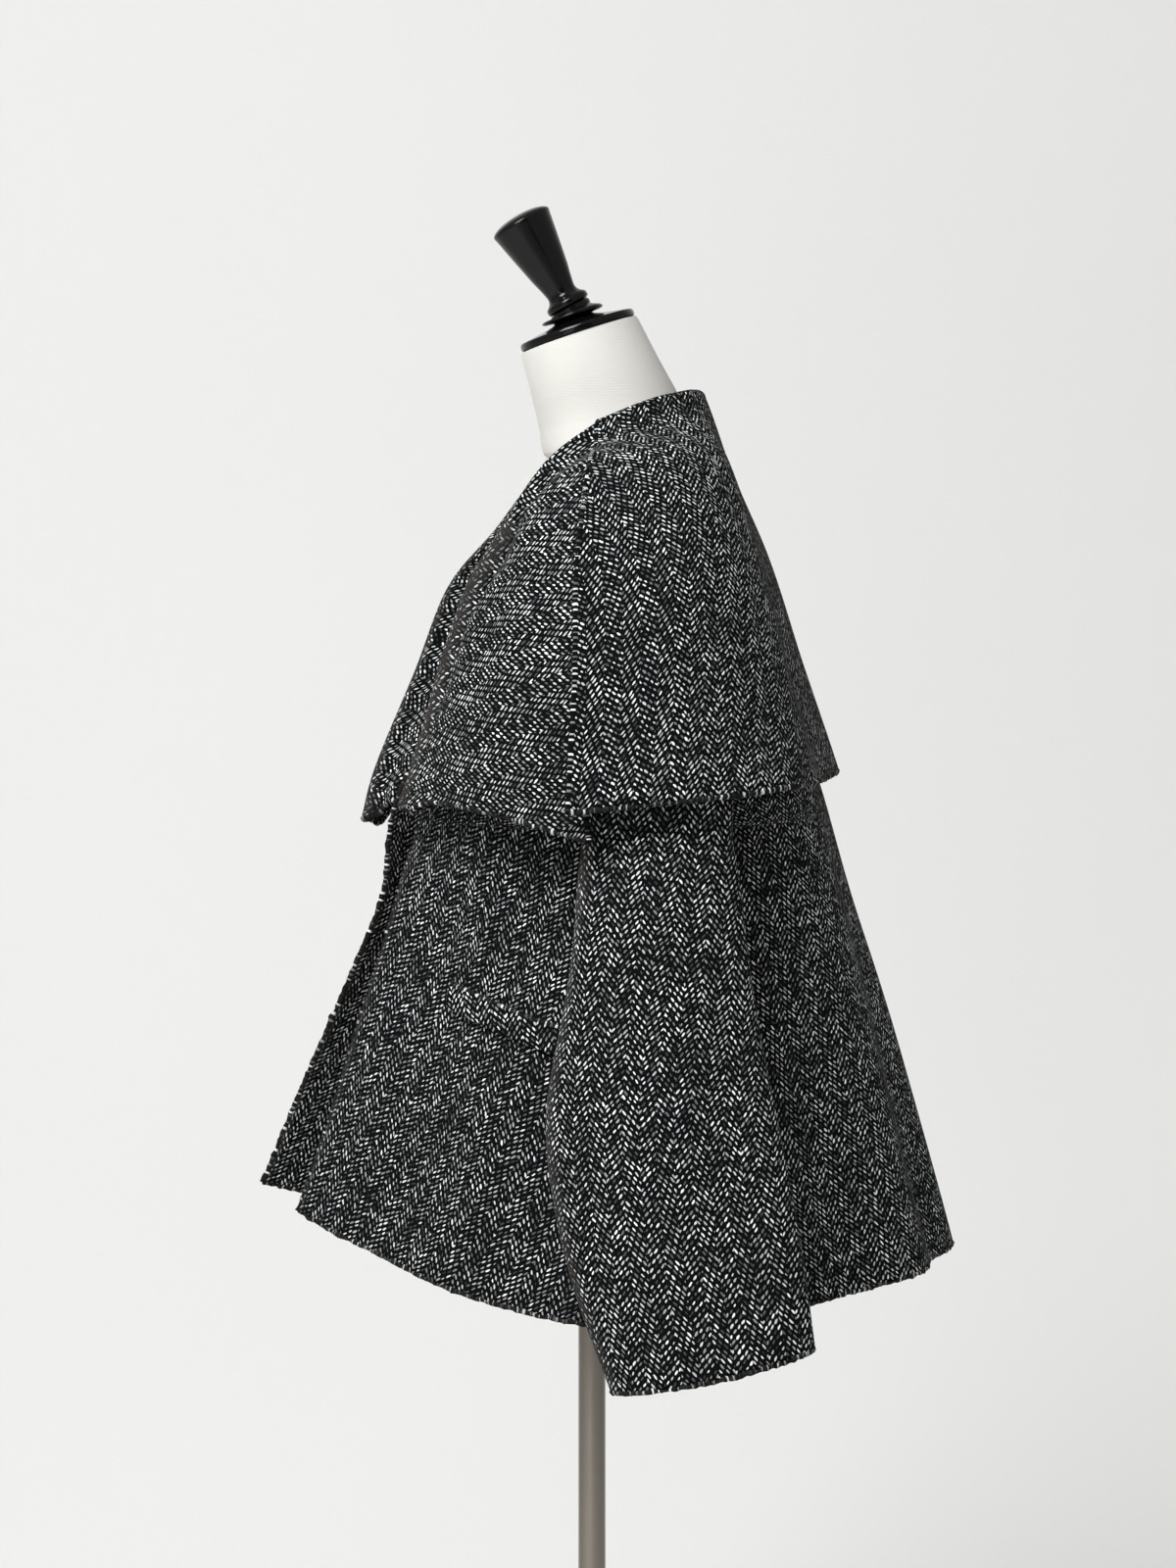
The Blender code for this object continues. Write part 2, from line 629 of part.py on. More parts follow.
def add_stack(name, rings, material, sharp_degrees=50.0):
    """Close a stack of rings with a flat face at each end."""
    points = np.array(rings).reshape(-1, 3)
    sides = len(rings[0])
    faces = []
    for row in range(len(rings) - 1):
        for step in range(sides):
            a = row * sides + step
            b = row * sides + (step + 1) % sides
            faces.append((a, b, b + sides, a + sides))
    faces.append(tuple(range(sides)))
    faces.append(tuple(range((len(rings) - 1) * sides, len(rings) * sides)))
    return add_solid(name, points, faces, material, sharp_degrees)


def lean_axes(lean):
    """Give the axis of a turned piece that leans forward, and the way ahead across it."""
    angle = math.radians(lean)
    return (np.array([0.0, -math.sin(angle), math.cos(angle)]),
            np.array([0.0, math.cos(angle), math.sin(angle)]))


def turned(profile, foot, lean):
    """Turn a profile about an axis that leans forward from its foot.

    A ring of the profile may have a lean of its own after its radius and height.
    """
    axis = lean_axes(lean)[0]
    rings = []
    for radius, height, *own_lean in profile:
        ahead = lean_axes(own_lean[0] if own_lean else lean)[1]
        middle = np.asarray(foot) + axis * height
        rings.append([middle + radius * (math.cos(turn) * np.array([1.0, 0, 0])
                                         + math.sin(turn) * ahead)
                      for turn in np.linspace(0, 2 * math.pi, TURNED_SIDES, endpoint=False)])
    return rings


def add_cap_and_knob():
    """Make the neck cap and the flared knob that stands on it."""
    height, centre_y = NECK_RINGS[-1][0], NECK_RINGS[-1][1]
    axis = lean_axes(NECK_LEAN)[0]
    foot = np.array([0.0, centre_y, height]) + axis * SEAM
    add_stack("form_neck_cap", turned(CAP_PROFILE, foot, NECK_LEAN), "black gloss")
    knob_foot = foot + axis * CAP_PROFILE[-1][1] + lean_axes(KNOB_LEAN)[0] * SEAM
    add_stack("form_knob", turned(KNOB_PROFILE, knob_foot, KNOB_LEAN), "black gloss")


def add_pole_and_base():
    """Make the pole and the round base plate."""
    top = FORM_RINGS[1][0] - SEAM
    rings = [(POLE_RADIUS, BASE_THICKNESS + SEAM), (POLE_RADIUS, top)]
    add_stack("form_pole", turned(rings, (0, 0, 0), 0.0), "chrome")
    rings = [(BASE_RADIUS, 0.0), (BASE_RADIUS, BASE_THICKNESS - BASE_BEVEL),
             (BASE_RADIUS - BASE_BEVEL, BASE_THICKNESS)]
    add_stack("form_base", turned(rings, (0, 0, 0), 0.0), "chrome", 30.0)


def main():
    """Clear the scene and make every piece."""
    for old in list(bpy.data.objects):
        bpy.data.objects.remove(old, do_unlink=True)
    add_form()
    add_cap_and_knob()
    add_pole_and_base()
    add_body()
    add_sleeves()
    add_collar()
    add_welts()


main()
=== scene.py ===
"""Wool cape coat on a dress form, dressed for its picture.

The cloth pieces are thin shells on the form of the coat's solids, worked out from the same
tables of sections at a finer pitch. Soft folds, turned edges with yarn bumps and the cloth's
own grain are added to them. Metres, +Z up, the front faces -Y, the wearer's left is +X.
"""
import math

import bmesh
import bpy
import numpy as np
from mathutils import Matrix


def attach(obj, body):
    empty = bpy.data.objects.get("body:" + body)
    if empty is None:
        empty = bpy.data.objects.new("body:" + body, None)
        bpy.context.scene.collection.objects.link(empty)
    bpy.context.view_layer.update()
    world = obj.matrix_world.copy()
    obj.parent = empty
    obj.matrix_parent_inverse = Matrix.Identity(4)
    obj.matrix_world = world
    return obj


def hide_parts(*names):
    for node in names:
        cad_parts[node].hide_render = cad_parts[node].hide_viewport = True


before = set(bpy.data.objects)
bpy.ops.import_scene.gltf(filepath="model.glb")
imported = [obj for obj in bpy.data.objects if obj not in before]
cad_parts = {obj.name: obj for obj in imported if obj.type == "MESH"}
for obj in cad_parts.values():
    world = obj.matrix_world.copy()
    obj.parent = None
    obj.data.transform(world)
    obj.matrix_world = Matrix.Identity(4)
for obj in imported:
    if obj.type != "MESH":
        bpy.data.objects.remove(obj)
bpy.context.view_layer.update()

bl_info = {
    "name": "Wool cape coat on a dress form",
    "version": (1, 0, 0),
    "blender": (4, 5, 0),
    "location": "View3D > Sidebar > Cape coat",
    "description": "Builds the coat's cloth, the dress form and the studio stage",
    "category": "Object",
}

SIDES = (("left", False), ("right", True))
LEVEL = np.array([1.0, 1.0, 0.0])

# Cloth walls, and how finely the cloth is divided.
BODY_WALL = 0.0028
SLEEVE_WALL = 0.0028
COLLAR_WALL = 0.0036
WELT_WALL = 0.0026
SEAM = 0.0004
NECK_SEAM = 0.0014
LAPEL_SEAM = 0.0017
STAND_START = 0.0006
SEAM_THINNING = ((0.0, 0.32), (0.07, 0.42), (0.14, 0.55), (0.21, 0.75), (0.29, 1.0), (1.0, 1.0))
BODY_STEP = 0.0052
BACK_COLUMNS = 170
FRONT_COLUMNS = 76
ARMHOLE_STEPS = 52
NECK_ROWS = 10
SLEEVE_ROWS = 118
COLLAR_COLUMNS = 158
LAPEL_COLUMNS = 76
SECTION_POINTS = 96
RIM_STEP = 0.0017
RIM_SIDES = 7
RIM_SEED = 11
RIM_PROUD = 0.0006
RIM_BUMP_SHARE = 0.6
RIM_SMOOTHING = 1.6
SEAM_BUMPS = 0.3
NORMAL_STEP = 0.004

# Body of the coat, one row for each level. Heights are taken at the side seam, where the
# section is half_width from the middle. The back and the front edge rise from there.
BODY_LEVELS = (
    ("height", "half_width", "side_y", "back_y", "back_rise", "edge_x", "edge_y",
     "edge_rise", "edge_turn", "right_forward"),
    (0.700, 0.236, 0.045, 0.285, 0.028, 0.080, -0.232, 0.066, 48.0, 0.040),
    (0.800, 0.218, 0.045, 0.260, 0.022, 0.068, -0.204, 0.048, 44.0, 0.034),
    (0.900, 0.203, 0.045, 0.236, 0.016, 0.057, -0.179, 0.030, 40.0, 0.023),
    (1.000, 0.190, 0.045, 0.211, 0.010, 0.049, -0.155, 0.012, 34.0, 0.016),
    (1.070, 0.184, 0.045, 0.191, 0.006, 0.046, -0.137, 0.002, 28.0, 0.027),
    (1.150, 0.186, 0.044, 0.166, 0.005, 0.064, -0.114, 0.000, 24.0, 0.018),
    (1.220, 0.186, 0.042, 0.145, 0.010, 0.076, -0.095, 0.000, 20.0, 0.014),
    (1.280, 0.183, 0.037, 0.124, 0.015, 0.083, -0.068, 0.002, 16.0, 0.006),
    (1.325, 0.170, 0.030, 0.103, 0.018, 0.085, -0.034, 0.002, 12.0, 0.001),
    (1.352, 0.120, 0.021, 0.091, 0.018, 0.081, -0.012, 0.002, 6.0, 0.000),
    (1.375, 0.076, 0.012, 0.082, 0.016, 0.071, -0.001, 0.001, 0.0, 0.000),
)
HEM_LEVEL = 0.700
ARMHOLE_BOTTOM = 1.070
SHOULDER_TIP = 1.325
NECK_LEVEL = 1.375
ARMHOLE_INTO_BACK = 0.30
ARMHOLE_INTO_FRONT = 0.32
FRONT_NECK_START = 1.330
FRONT_NECK_CUT = 0.55
EDGE_REACH = 1.15
RISE_POWER = 1.6

# Left sleeve, one row for each ring below the armhole. Outer and inner are the ends of the
# ring across the arm, front_y and back_y its reach fore and aft.
SLEEVE_RINGS = (
    ("along", "outer_x", "outer_z", "inner_x", "inner_z", "front_y", "back_y",
     "front_drop", "back_drop"),
    (0.10, 0.196, 1.298, 0.1915, 1.062, -0.026, 0.108, 0.000, 0.000),
    (0.20, 0.211, 1.248, 0.1945, 1.052, -0.022, 0.108, 0.000, 0.000),
    (0.32, 0.229, 1.170, 0.1970, 1.034, -0.013, 0.108, 0.000, 0.000),
    (0.44, 0.245, 1.090, 0.2000, 1.004, -0.012, 0.112, 0.000, 0.000),
    (0.60, 0.267, 0.965, 0.2090, 0.928, -0.025, 0.124, -0.002, 0.002),
    (0.74, 0.286, 0.862, 0.2200, 0.850, -0.036, 0.137, -0.006, 0.006),
    (0.87, 0.304, 0.762, 0.2345, 0.762, -0.018, 0.152, -0.010, 0.012),
    (1.00, 0.320, 0.676, 0.2460, 0.676, 0.014, 0.164, -0.014, 0.018),
)
SLEEVE_HEAD = 0.10
SLEEVE_RISE = 0.004
SLEEVE_GAP = 2 * SEAM
HEAD_STEPS = (0.33, 0.67)

# Left half of the collar's back piece, from the centre back to the collar's side seam: the
# neck edge it grows from, the roll at its top, two points down the fall and the hem.
COLLAR_BACK = (
    ("station", "neck_u", "roll_x", "roll_y", "roll_z", "roll_radius",
     "over_x", "over_y", "over_z", "up_x", "up_y", "up_z",
     "low_x", "low_y", "low_z", "hem_x", "hem_y", "hem_z"),
    (0.0, 0.00, 0.000, 0.0840, 1.416, 0.0085,
     0.000, 0.112, 1.352, 0.000, 0.139, 1.286, 0.000, 0.168, 1.190, 0.000, 0.197, 1.108),
    (1.0, 0.36, 0.038, 0.0740, 1.414, 0.0085,
     0.084, 0.104, 1.360, 0.114, 0.126, 1.290, 0.132, 0.150, 1.189, 0.138, 0.171, 1.106),
    (2.0, 0.70, 0.066, 0.0450, 1.406, 0.0085,
     0.142, 0.064, 1.361, 0.196, 0.080, 1.294, 0.228, 0.092, 1.186, 0.238, 0.104, 1.101),
    (3.0, 1.00, 0.0785, 0.0040, 1.389, 0.0080,
     0.160, -0.002, 1.356, 0.221, -0.012, 1.284, 0.257, -0.014, 1.182, 0.272, -0.020, 1.090),
)
COLLAR_SEAM = 2.985
COLLAR_LEAN = 0.05

# Left lapel, from the same seam to the break point at the front. Its inner leaf grows from
# the front edge of the coat at edge_height. lean is the way its rolled edge points.
LAPEL = (
    ("station", "neck_u", "edge_height", "roll_x", "roll_y", "roll_z", "roll_radius",
     "lean_x", "lean_y", "lean_z", "over_x", "over_y", "over_z",
     "up_x", "up_y", "up_z", "low_x", "low_y", "low_z", "hem_x", "hem_y", "hem_z",
     "right_forward", "right_drop"),
    (0.0, 1.60, 1.375, 0.0785, 0.0024, 1.388, 0.0078, -0.06, -0.05, 1.00, 0.160, -0.0042, 1.355,
     0.221, -0.0144, 1.283, 0.2515, -0.0164, 1.181, 0.2630, -0.006, 1.069, 0.000, 0.000),
    (1.0, 2.00, 1.346, 0.0870, -0.0375, 1.355, 0.0075, -0.25, -0.80, 0.55, 0.140, -0.048, 1.322,
     0.190, -0.056, 1.254, 0.228, -0.056, 1.166, 0.234, -0.048, 1.080, 0.003, 0.000),
    (2.0, 2.00, 1.312, 0.0920, -0.0720, 1.305, 0.0095, -0.30, -0.85, 0.40, 0.128, -0.074, 1.278,
     0.162, -0.080, 1.222, 0.192, -0.085, 1.152, 0.194, -0.084, 1.087, 0.008, 0.000),
    (3.0, 2.00, 1.262, 0.0930, -0.1020, 1.258, 0.0110, -0.36, -0.92, 0.16, 0.118, -0.098, 1.236,
     0.140, -0.103, 1.190, 0.156, -0.106, 1.138, 0.156, -0.108, 1.090, 0.018, 0.002),
    (4.0, 2.00, 1.196, 0.0850, -0.1240, 1.192, 0.0110, -0.42, -0.90, 0.08, 0.104, -0.118, 1.178,
     0.114, -0.120, 1.150, 0.122, -0.121, 1.118, 0.126, -0.123, 1.090, 0.024, 0.008),
    (5.0, 2.00, 1.128, 0.0760, -0.1410, 1.126, 0.0095, -0.45, -0.89, 0.05, 0.094, -0.133, 1.117,
     0.100, -0.132, 1.106, 0.105, -0.131, 1.096, 0.108, -0.1315, 1.087, 0.037, 0.016),
    (6.0, 2.00, 1.081, 0.0660, -0.1510, 1.085, 0.0070, -0.45, -0.89, 0.05, 0.082, -0.1440, 1.0820,
     0.086, -0.1425, 1.0812, 0.090, -0.1410, 1.0804, 0.094, -0.1395, 1.0796, 0.038, 0.018),
)
ROLL_TURNS = (-90, -45, 0, 45, 90)
ROLL_END = 6
ROLL_SHARE = 0.4
SEAM_CLOSE = 0.0024
SEAM_CLOSE_REACH = 0.25

# Pocket welt, where its mouth runs on the panel, and its height.
WELT_FRONT_END = (1.66, 0.938)
WELT_SIDE_END = (1.16, 0.914)
WELT_HEIGHT = 0.022
WELT_COLUMNS = 66
WELT_ROWS = 9
WELT_PUFF = 0.0016
WELT_CROWN = 0.7

# Soft troughs and ridges of each piece: where they lie across the grain and in height, their
# half sizes across and along, their lean off the grain and their depth, less than 0 inward.
FOLD_NAMES = ("across", "height", "half_across", "half_along", "lean", "depth")
FRONT_FOLDS = (
    FOLD_NAMES,
    (0.070, 0.985, 0.050, 0.034, 35.0, -0.0066),
    (0.115, 0.940, 0.028, 0.048, -50.0, -0.0046),
    (0.030, 0.905, 0.030, 0.060, 10.0, 0.0026),
    (0.150, 1.010, 0.026, 0.075, 12.0, -0.0056),
    (0.095, 0.830, 0.034, 0.110, 6.0, -0.0030),
    (0.165, 0.790, 0.030, 0.120, -4.0, 0.0036),
    (0.045, 0.770, 0.022, 0.085, 8.0, 0.0022),
    (0.225, 0.840, 0.034, 0.130, 3.0, -0.0036),
)
RIGHT_FRONT_FOLDS = (
    FOLD_NAMES,
    (0.082, 0.975, 0.046, 0.040, 28.0, -0.0044),
    (0.125, 0.925, 0.034, 0.046, -42.0, -0.0028),
    (0.040, 0.890, 0.028, 0.070, 4.0, 0.0028),
    (0.160, 1.000, 0.030, 0.066, 9.0, -0.0036),
    (0.110, 0.815, 0.030, 0.120, -5.0, -0.0034),
    (0.180, 0.780, 0.036, 0.105, 3.0, 0.0032),
    (0.240, 0.830, 0.030, 0.120, -6.0, -0.0030),
)
BACK_FOLDS = (
    FOLD_NAMES,
    (0.000, 0.760, 0.034, 0.190, 0.0, 0.0050),
    (0.066, 0.780, 0.026, 0.210, 4.0, -0.0058),
    (0.128, 0.740, 0.032, 0.160, 6.0, 0.0052),
    (0.196, 0.800, 0.028, 0.200, 7.0, -0.0046),
    (0.262, 0.750, 0.034, 0.150, 8.0, 0.0040),
    (-0.058, 0.770, 0.024, 0.180, -3.0, -0.0050),
    (-0.118, 0.750, 0.030, 0.200, -6.0, 0.0056),
    (-0.182, 0.810, 0.026, 0.170, -7.0, -0.0052),
    (-0.250, 0.740, 0.036, 0.160, -9.0, 0.0042),
    (0.030, 1.010, 0.060, 0.060, 40.0, -0.0030),
)
SLEEVE_FOLDS = (
    FOLD_NAMES,
    (0.000, 0.960, 0.030, 0.130, 4.0, 0.0022),
    (-0.085, 1.000, 0.022, 0.110, 12.0, -0.0034),
    (-0.075, 0.840, 0.026, 0.120, 8.0, -0.0026),
    (0.060, 0.900, 0.030, 0.150, -5.0, -0.0022),
    (0.090, 0.780, 0.026, 0.110, -6.0, 0.0026),
    (-0.030, 0.740, 0.034, 0.090, 10.0, 0.0020),
    (0.130, 1.020, 0.020, 0.080, -14.0, -0.0030),
    (-0.140, 0.760, 0.030, 0.120, 5.0, 0.0030),
    (0.180, 0.860, 0.036, 0.140, 0.0, -0.0036),
    (0.000, 1.068, 0.090, 0.022, 0.0, -0.0040),
)
COLLAR_FOLDS = (
    FOLD_NAMES,
    (0.000, 1.180, 0.040, 0.110, 0.0, 0.0030),
    (0.085, 1.200, 0.030, 0.120, 10.0, -0.0034),
    (0.165, 1.170, 0.036, 0.110, 16.0, 0.0032),
    (0.245, 1.210, 0.028, 0.100, 18.0, -0.0026),
    (0.300, 1.150, 0.034, 0.080, 20.0, 0.0030),
    (-0.092, 1.190, 0.034, 0.110, -9.0, -0.0030),
    (-0.176, 1.180, 0.030, 0.120, -15.0, 0.0034),
    (-0.252, 1.200, 0.032, 0.110, -18.0, -0.0028),
    (-0.310, 1.150, 0.030, 0.090, -21.0, 0.0028),
    (0.290, 1.098, 0.110, 0.030, 0.0, 0.0054),
    (-0.290, 1.098, 0.110, 0.030, 0.0, 0.0054),
)
LAPEL_FOLDS = (
    FOLD_NAMES,
    (0.090, 1.268, 0.016, 0.060, 38.0, -0.0046),
    (0.128, 1.180, 0.016, 0.055, 26.0, -0.0034),
    (0.045, 1.190, 0.022, 0.080, 8.0, 0.0024),
    (0.085, 1.120, 0.050, 0.022, 6.0, 0.0022),
    (0.145, 1.086, 0.026, 0.012, 0.0, 0.0036),
)

# The way along the lapel, level with the floor, that its cloth runs, and where its grain starts.
LAPEL_RUN = (-0.34, -0.94)
LAPEL_START = 0.05

# Painted sheen along the folds seen edge on, the sleeve's front, the lapel's roll and the front
# edge: how much more lint grey it lays on than a turned rim, and how far it reaches along the
# cloth. It is gone at the second number below times that reach.
SHEEN_BAND_SHARE = 3.0
SHEEN_BAND_FULL = 1.3
SLEEVE_EDGE_REACH = 0.015
LAPEL_EDGE_REACH = 0.013
FRONT_EDGE_REACH = 0.004

# Grain of the cloth in degrees off upright, to each side of the collar's centre back and on the
# fronts, the sleeve's twist, and the place in the weave where the collar's fan starts.
COLLAR_GRAIN = 22.0
FRONT_GRAIN = 13.0
SLEEVE_TWIST = 0.10
FAN_START = 0.2

# Wool. The yarns stray a little. Each column of the herringbone is so many slubs wide, and the
# slubs shift from one twill line and from one column to the next. They are thin, oval and of
# several sizes, and few are fully pale. The slubs' brightness on each piece is painted light and
# shade, which gives each piece a lit or shaded copy of the wool.
WOOL_COLOUR = (0.055, 0.056, 0.060)
STRAY_SCALE = 150.0
STRAY_REACH = 0.0016
SLUBS_WIDE = 3.6
LINE_SHIFT = 0.37
COLUMN_SHIFT = 0.21
SLUB_SLIP = 0.30
SLUB_THINNESS = 15.0
SLUB_SHORTNESS = 5.6
SLUB_EDGE = (0.96, 0.40)
SLUB_SIZE = (0.45, 0.85)
PALE_SHARE = (0.04, 1.28)
PALE_RARITY = 1.5
PATCH_SCALE = 26.0
PATCHES = (0.28, 0.66, 0.60, 1.10)
FUZZ_SCALE = 1500.0
HAZE = (0.42, 0.72, 0.0, 0.007)
# Painted sheen: a lint grey laid over the weave where the cloth is seen edge on, on the rims and
# in bands along folds seen edge on; on free rims it is partly the grey of their fuzz.
LINT_SHEEN_SPREAD = (0.35, 0.70)
LINT_SHEEN_DARK = (0.008, 0.0076, 0.007)
LINT_SHEEN_PALE = (0.078, 0.074, 0.069)
FACING_SHEEN = (0.76, 0.97, 0.0, 0.80)
RIM_LINT_AND_SHEEN = (0.30, 0.12)
SLUB_RELIEF = 0.0012
# Painted light and shade on the slubs of each piece.
PAINTED_LIGHT = {"back": 0.92, "left front": 0.74, "right front": 1.20, "sleeve": 0.94,
              "collar": 1.0, "welt": 1.1}

# Cover of the form: thread lines up its height in radians for each metre, its soft clouds and
# how dark they are, its fine grain and the height of both.
COVER_THREADS = 5200.0
COVER_CLOUDS = 14.0
COVER_SHADE = 0.93
COVER_GRAIN = 900.0
COVER_RELIEF = 0.0003

# Gloss and chrome: scale of the faint marks, and the roughness from clean to marked.
GLOSS_HAZE = 60.0
GLOSS_ROUGHNESS = (0.07, 0.15)
GLOSS_MARKS = 90.0
GLOSS_RELIEF = 0.0004
WIPING_MARKS = 45.0
MARKED = (0.35, 0.75)
POLE_ROUGHNESS = (0.07, 0.13)
BASE_ROUGHNESS = (0.16, 0.26)

# Dress form. Its shoulders are worked out from the coat's shoulder seam, which rests there.
FORM_RINGS = (
    ("height", "half_width", "front_y", "back_y", "tilt"),
    (0.772, 0.138, -0.070, 0.094, 0.0),
    (0.778, 0.147, -0.078, 0.102, 0.0),
    (0.795, 0.154, -0.084, 0.110, 0.0),
    (0.860, 0.163, -0.091, 0.118, 0.0),
    (0.930, 0.146, -0.084, 0.104, 0.0),
    (1.000, 0.114, -0.069, 0.078, 0.0),
    (1.050, 0.121, -0.080, 0.083, 0.0),
    (1.100, 0.133, -0.098, 0.093, 0.0),
    (1.150, 0.145, -0.104, 0.101, 0.0),
    (1.200, 0.154, -0.094, 0.106, 0.0),
    (1.250, 0.160, -0.074, 0.103, 0.0),
    (1.295, 0.160, -0.050, 0.095, 0.0),
    (1.3316, 0.150, -0.027, 0.085, 0.0),
    (1.3485, 0.119, -0.021, 0.080, 4.0),
    (1.3720, 0.075, -0.039, 0.079, 8.0),
    (1.3940, 0.057, -0.042, 0.072, 12.0),
    (1.4250, 0.0515, -0.0485, 0.0545, 16.0),
    (1.4570, 0.0472, -0.0567, 0.0377, 18.0),
    (1.4600, 0.0462, -0.0567, 0.0357, 18.3),
)
FORM_SIDES = 64
FORM_ROWS = 60
NECK_LEAN = 18.3
NECK_TOP = (1.4600, -0.0105)

# Neck cap and knob, profiles of radius, height above the neck's flat top and lean. The
# cap's rings lean further forward toward its top, where the knob stands.
CAP_PROFILE = (
    (0.0450, 0.0000, 18.3), (0.0478, 0.0010, 18.3), (0.0481, 0.0030, 18.3),
    (0.0478, 0.0052, 18.3), (0.0468, 0.0064, 18.3), (0.0380, 0.0082, 18.3),
    (0.0300, 0.0097, 18.3), (0.0220, 0.0113, 18.3), (0.0178, 0.0125, 18.3),
    (0.0162, 0.0136, 18.3), (0.0175, 0.0141, 18.3), (0.0240, 0.0147, 18.3),
    (0.0255, 0.0154, 18.3), (0.0258, 0.0163, 18.3), (0.0255, 0.0172, 18.6),
    (0.0243, 0.0180, 19.5), (0.0186, 0.0192, 22.5), (0.0172, 0.0200, 24.0),
    (0.0174, 0.0211, 26.0), (0.0172, 0.0222, 27.5), (0.0160, 0.0232, 30.0),
)
KNOB_LEAN = 30.0
KNOB_PROFILE = (
    (0.0160, 0.0000), (0.0176, 0.0008), (0.0181, 0.0022), (0.0180, 0.0044), (0.0172, 0.0060),
    (0.0152, 0.0074), (0.0134, 0.0094), (0.0125, 0.0115), (0.0123, 0.0135), (0.0127, 0.0160),
    (0.0140, 0.0220), (0.0165, 0.0320), (0.0205, 0.0520), (0.0232, 0.0660), (0.0247, 0.0740),
    (0.0253, 0.0764), (0.0254, 0.0776), (0.0249, 0.0789), (0.0222, 0.0810), (0.0170, 0.0830),
    (0.0100, 0.0843),
)
TURNED_SIDES = 96
ROUNDED_ANGLE = 32.0
SHARP_ANGLE = 38.0
SAME_HEIGHT = 1e-5
LEAST_TILT = 0.001

# Pole and base plate.
POLE_RADIUS = 0.011
BASE_RADIUS = 0.190
BASE_THICKNESS = 0.014
EDGE_ROUNDING = 0.0012
BASE_CHAMFER = 0.003

# Camera, seen from the wearer's left.
CAMERA_AWAY = 3.5
CAMERA_HEIGHT = 1.275
VIEW_HEIGHT = 1.264
VIEW_SHIFT = (-0.0025, -0.140)
CAMERA_TURN = 0.0
SENSOR = 36.0

# Lights: place, the point that they look at, and size.
KEY_LIGHT = ((2.1, -1.3, 3.4), (0, 0, 1.05), (1.6, 1.6))
FILL_LIGHT = ((3.2, -0.9, 1.3), (0, 0, 1.0), (1.2, 2.0))

# Even light of the pale studio and of the dark room beyond the camera, by the way's x.
SKY_PALE = (0.95, 0.95, 0.94)
SKY_DARK = (0.030, 0.020, 0.016)
ROOM_STARTS = 0.80
ROOM_FULL = 0.92

# Studio sweep: floor and wall in one sheet.
SWEEP_HALF = 7.0
SWEEP_WALL = -2.4
SWEEP_RISE = 7.0
SWEEP_CURVE = 1.6
SWEEP_STEPS = 24
WALL_SHADE = 0.985
FLOOR_GAP = 0.0005


def number(name, description, default, least, most, unit="NONE"):
    """Describe a number that a user may change."""
    return bpy.props.FloatProperty(name=name, description=description, default=default,
                                   min=least, max=most, unit=unit)


def colour(name, description, default):
    """Describe a colour that a user may change."""
    return bpy.props.FloatVectorProperty(name=name, description=description, default=default,
                                         subtype="COLOR", size=3, min=0.0, max=1.0)


class CoatSettings(bpy.types.PropertyGroup):
    """Sizes and colours of the coat's cloth."""

    column_width: number("Column width", "Width of one column of the herringbone",
                         0.0127, 0.004, 0.04, "LENGTH")
    twill_pitch: number("Twill pitch", "Distance along the grain from one twill line to the next",
                        0.0050, 0.002, 0.02, "LENGTH")
    fold_depth: number("Fold depth", "How many times the depths in the tables the soft folds have",
                       1.3, 0.0, 1.5)
    rim_bumps: number("Rim bumps", "Height of the yarn bumps on the turned edges",
                      0.0008, 0.0, 0.003, "LENGTH")
    dark_yarn: colour("Dark yarn", "Colour of the black yarn", (0.0022, 0.0027, 0.0030))
    pale_yarn: colour("Pale yarn", "Colour of the white yarn", (0.90, 0.94, 0.935))


class FormSettings(bpy.types.PropertyGroup):
    """Colours of the dress form."""

    cover: colour("Cover", "Colour of the cloth cover", (0.57, 0.56, 0.53))
    lacquer: colour("Lacquer", "Colour of the cap and the knob", (0.0035, 0.0033, 0.0033))
    chrome: colour("Chrome", "Colour of the pole and the base", (0.21, 0.19, 0.165))


class StageSettings(bpy.types.PropertyGroup):
    """Backdrop and light."""

    wall: colour("Wall", "Colour of the wall and the floor", (0.860, 0.860, 0.850))
    key_light: number("Key light", "Strength of the large light at the front left",
                      146.0, 0.0, 900.0, "POWER")
    fill_light: number("Fill light", "Strength of the fill light beside the camera",
                       10.0, 0.0, 600.0, "POWER")
    sky_light: number("Sky light", "Strength of the even light all round", 0.46, 0.0, 5.0)


def column(table, name):
    """Give one named column of a table."""
    place = table[0].index(name)
    return [row[place] for row in table[1:]]


def columns(table, *names):
    """Give several named columns side by side, a row for each row of the table."""
    return np.array([column(table, name) for name in names]).T


def smooth(keys, values, at):
    """Read a smooth curve that passes through the values, at one place or at many."""
    keys = np.asarray(keys, float)
    values = np.asarray(values, float)
    at = np.clip(np.asarray(at, float), keys[0], keys[-1])
    slopes = np.gradient(values, keys, axis=0)
    place = np.clip(np.searchsorted(keys, at) - 1, 0, len(keys) - 2)
    spread = at.shape + (1,) * (values.ndim - 1)
    span = (keys[place + 1] - keys[place]).reshape(spread)
    t = (at - keys[place]).reshape(spread) / span
    bend = t * t * (3 - 2 * t)
    start = t * (1 - t) ** 2 * span * slopes[place]
    end = t * t * (t - 1) * span * slopes[place + 1]
    return values[place] * (1 - bend) + values[place + 1] * bend + start + end


def read(table, at):
    """Read a table's other columns at any value of its first one."""
    return smooth(column(table, table[0][0]), columns(table, *table[0][1:]), at)


def unit(vector):
    """Scale vectors to length one."""
    vector = np.asarray(vector, float)
    return vector / np.linalg.norm(vector, axis=-1, keepdims=True)


def mirrored(points):
    """Give the same points on the wearer's other side."""
    return np.asarray(points) * np.array([-1.0, 1.0, 1.0])


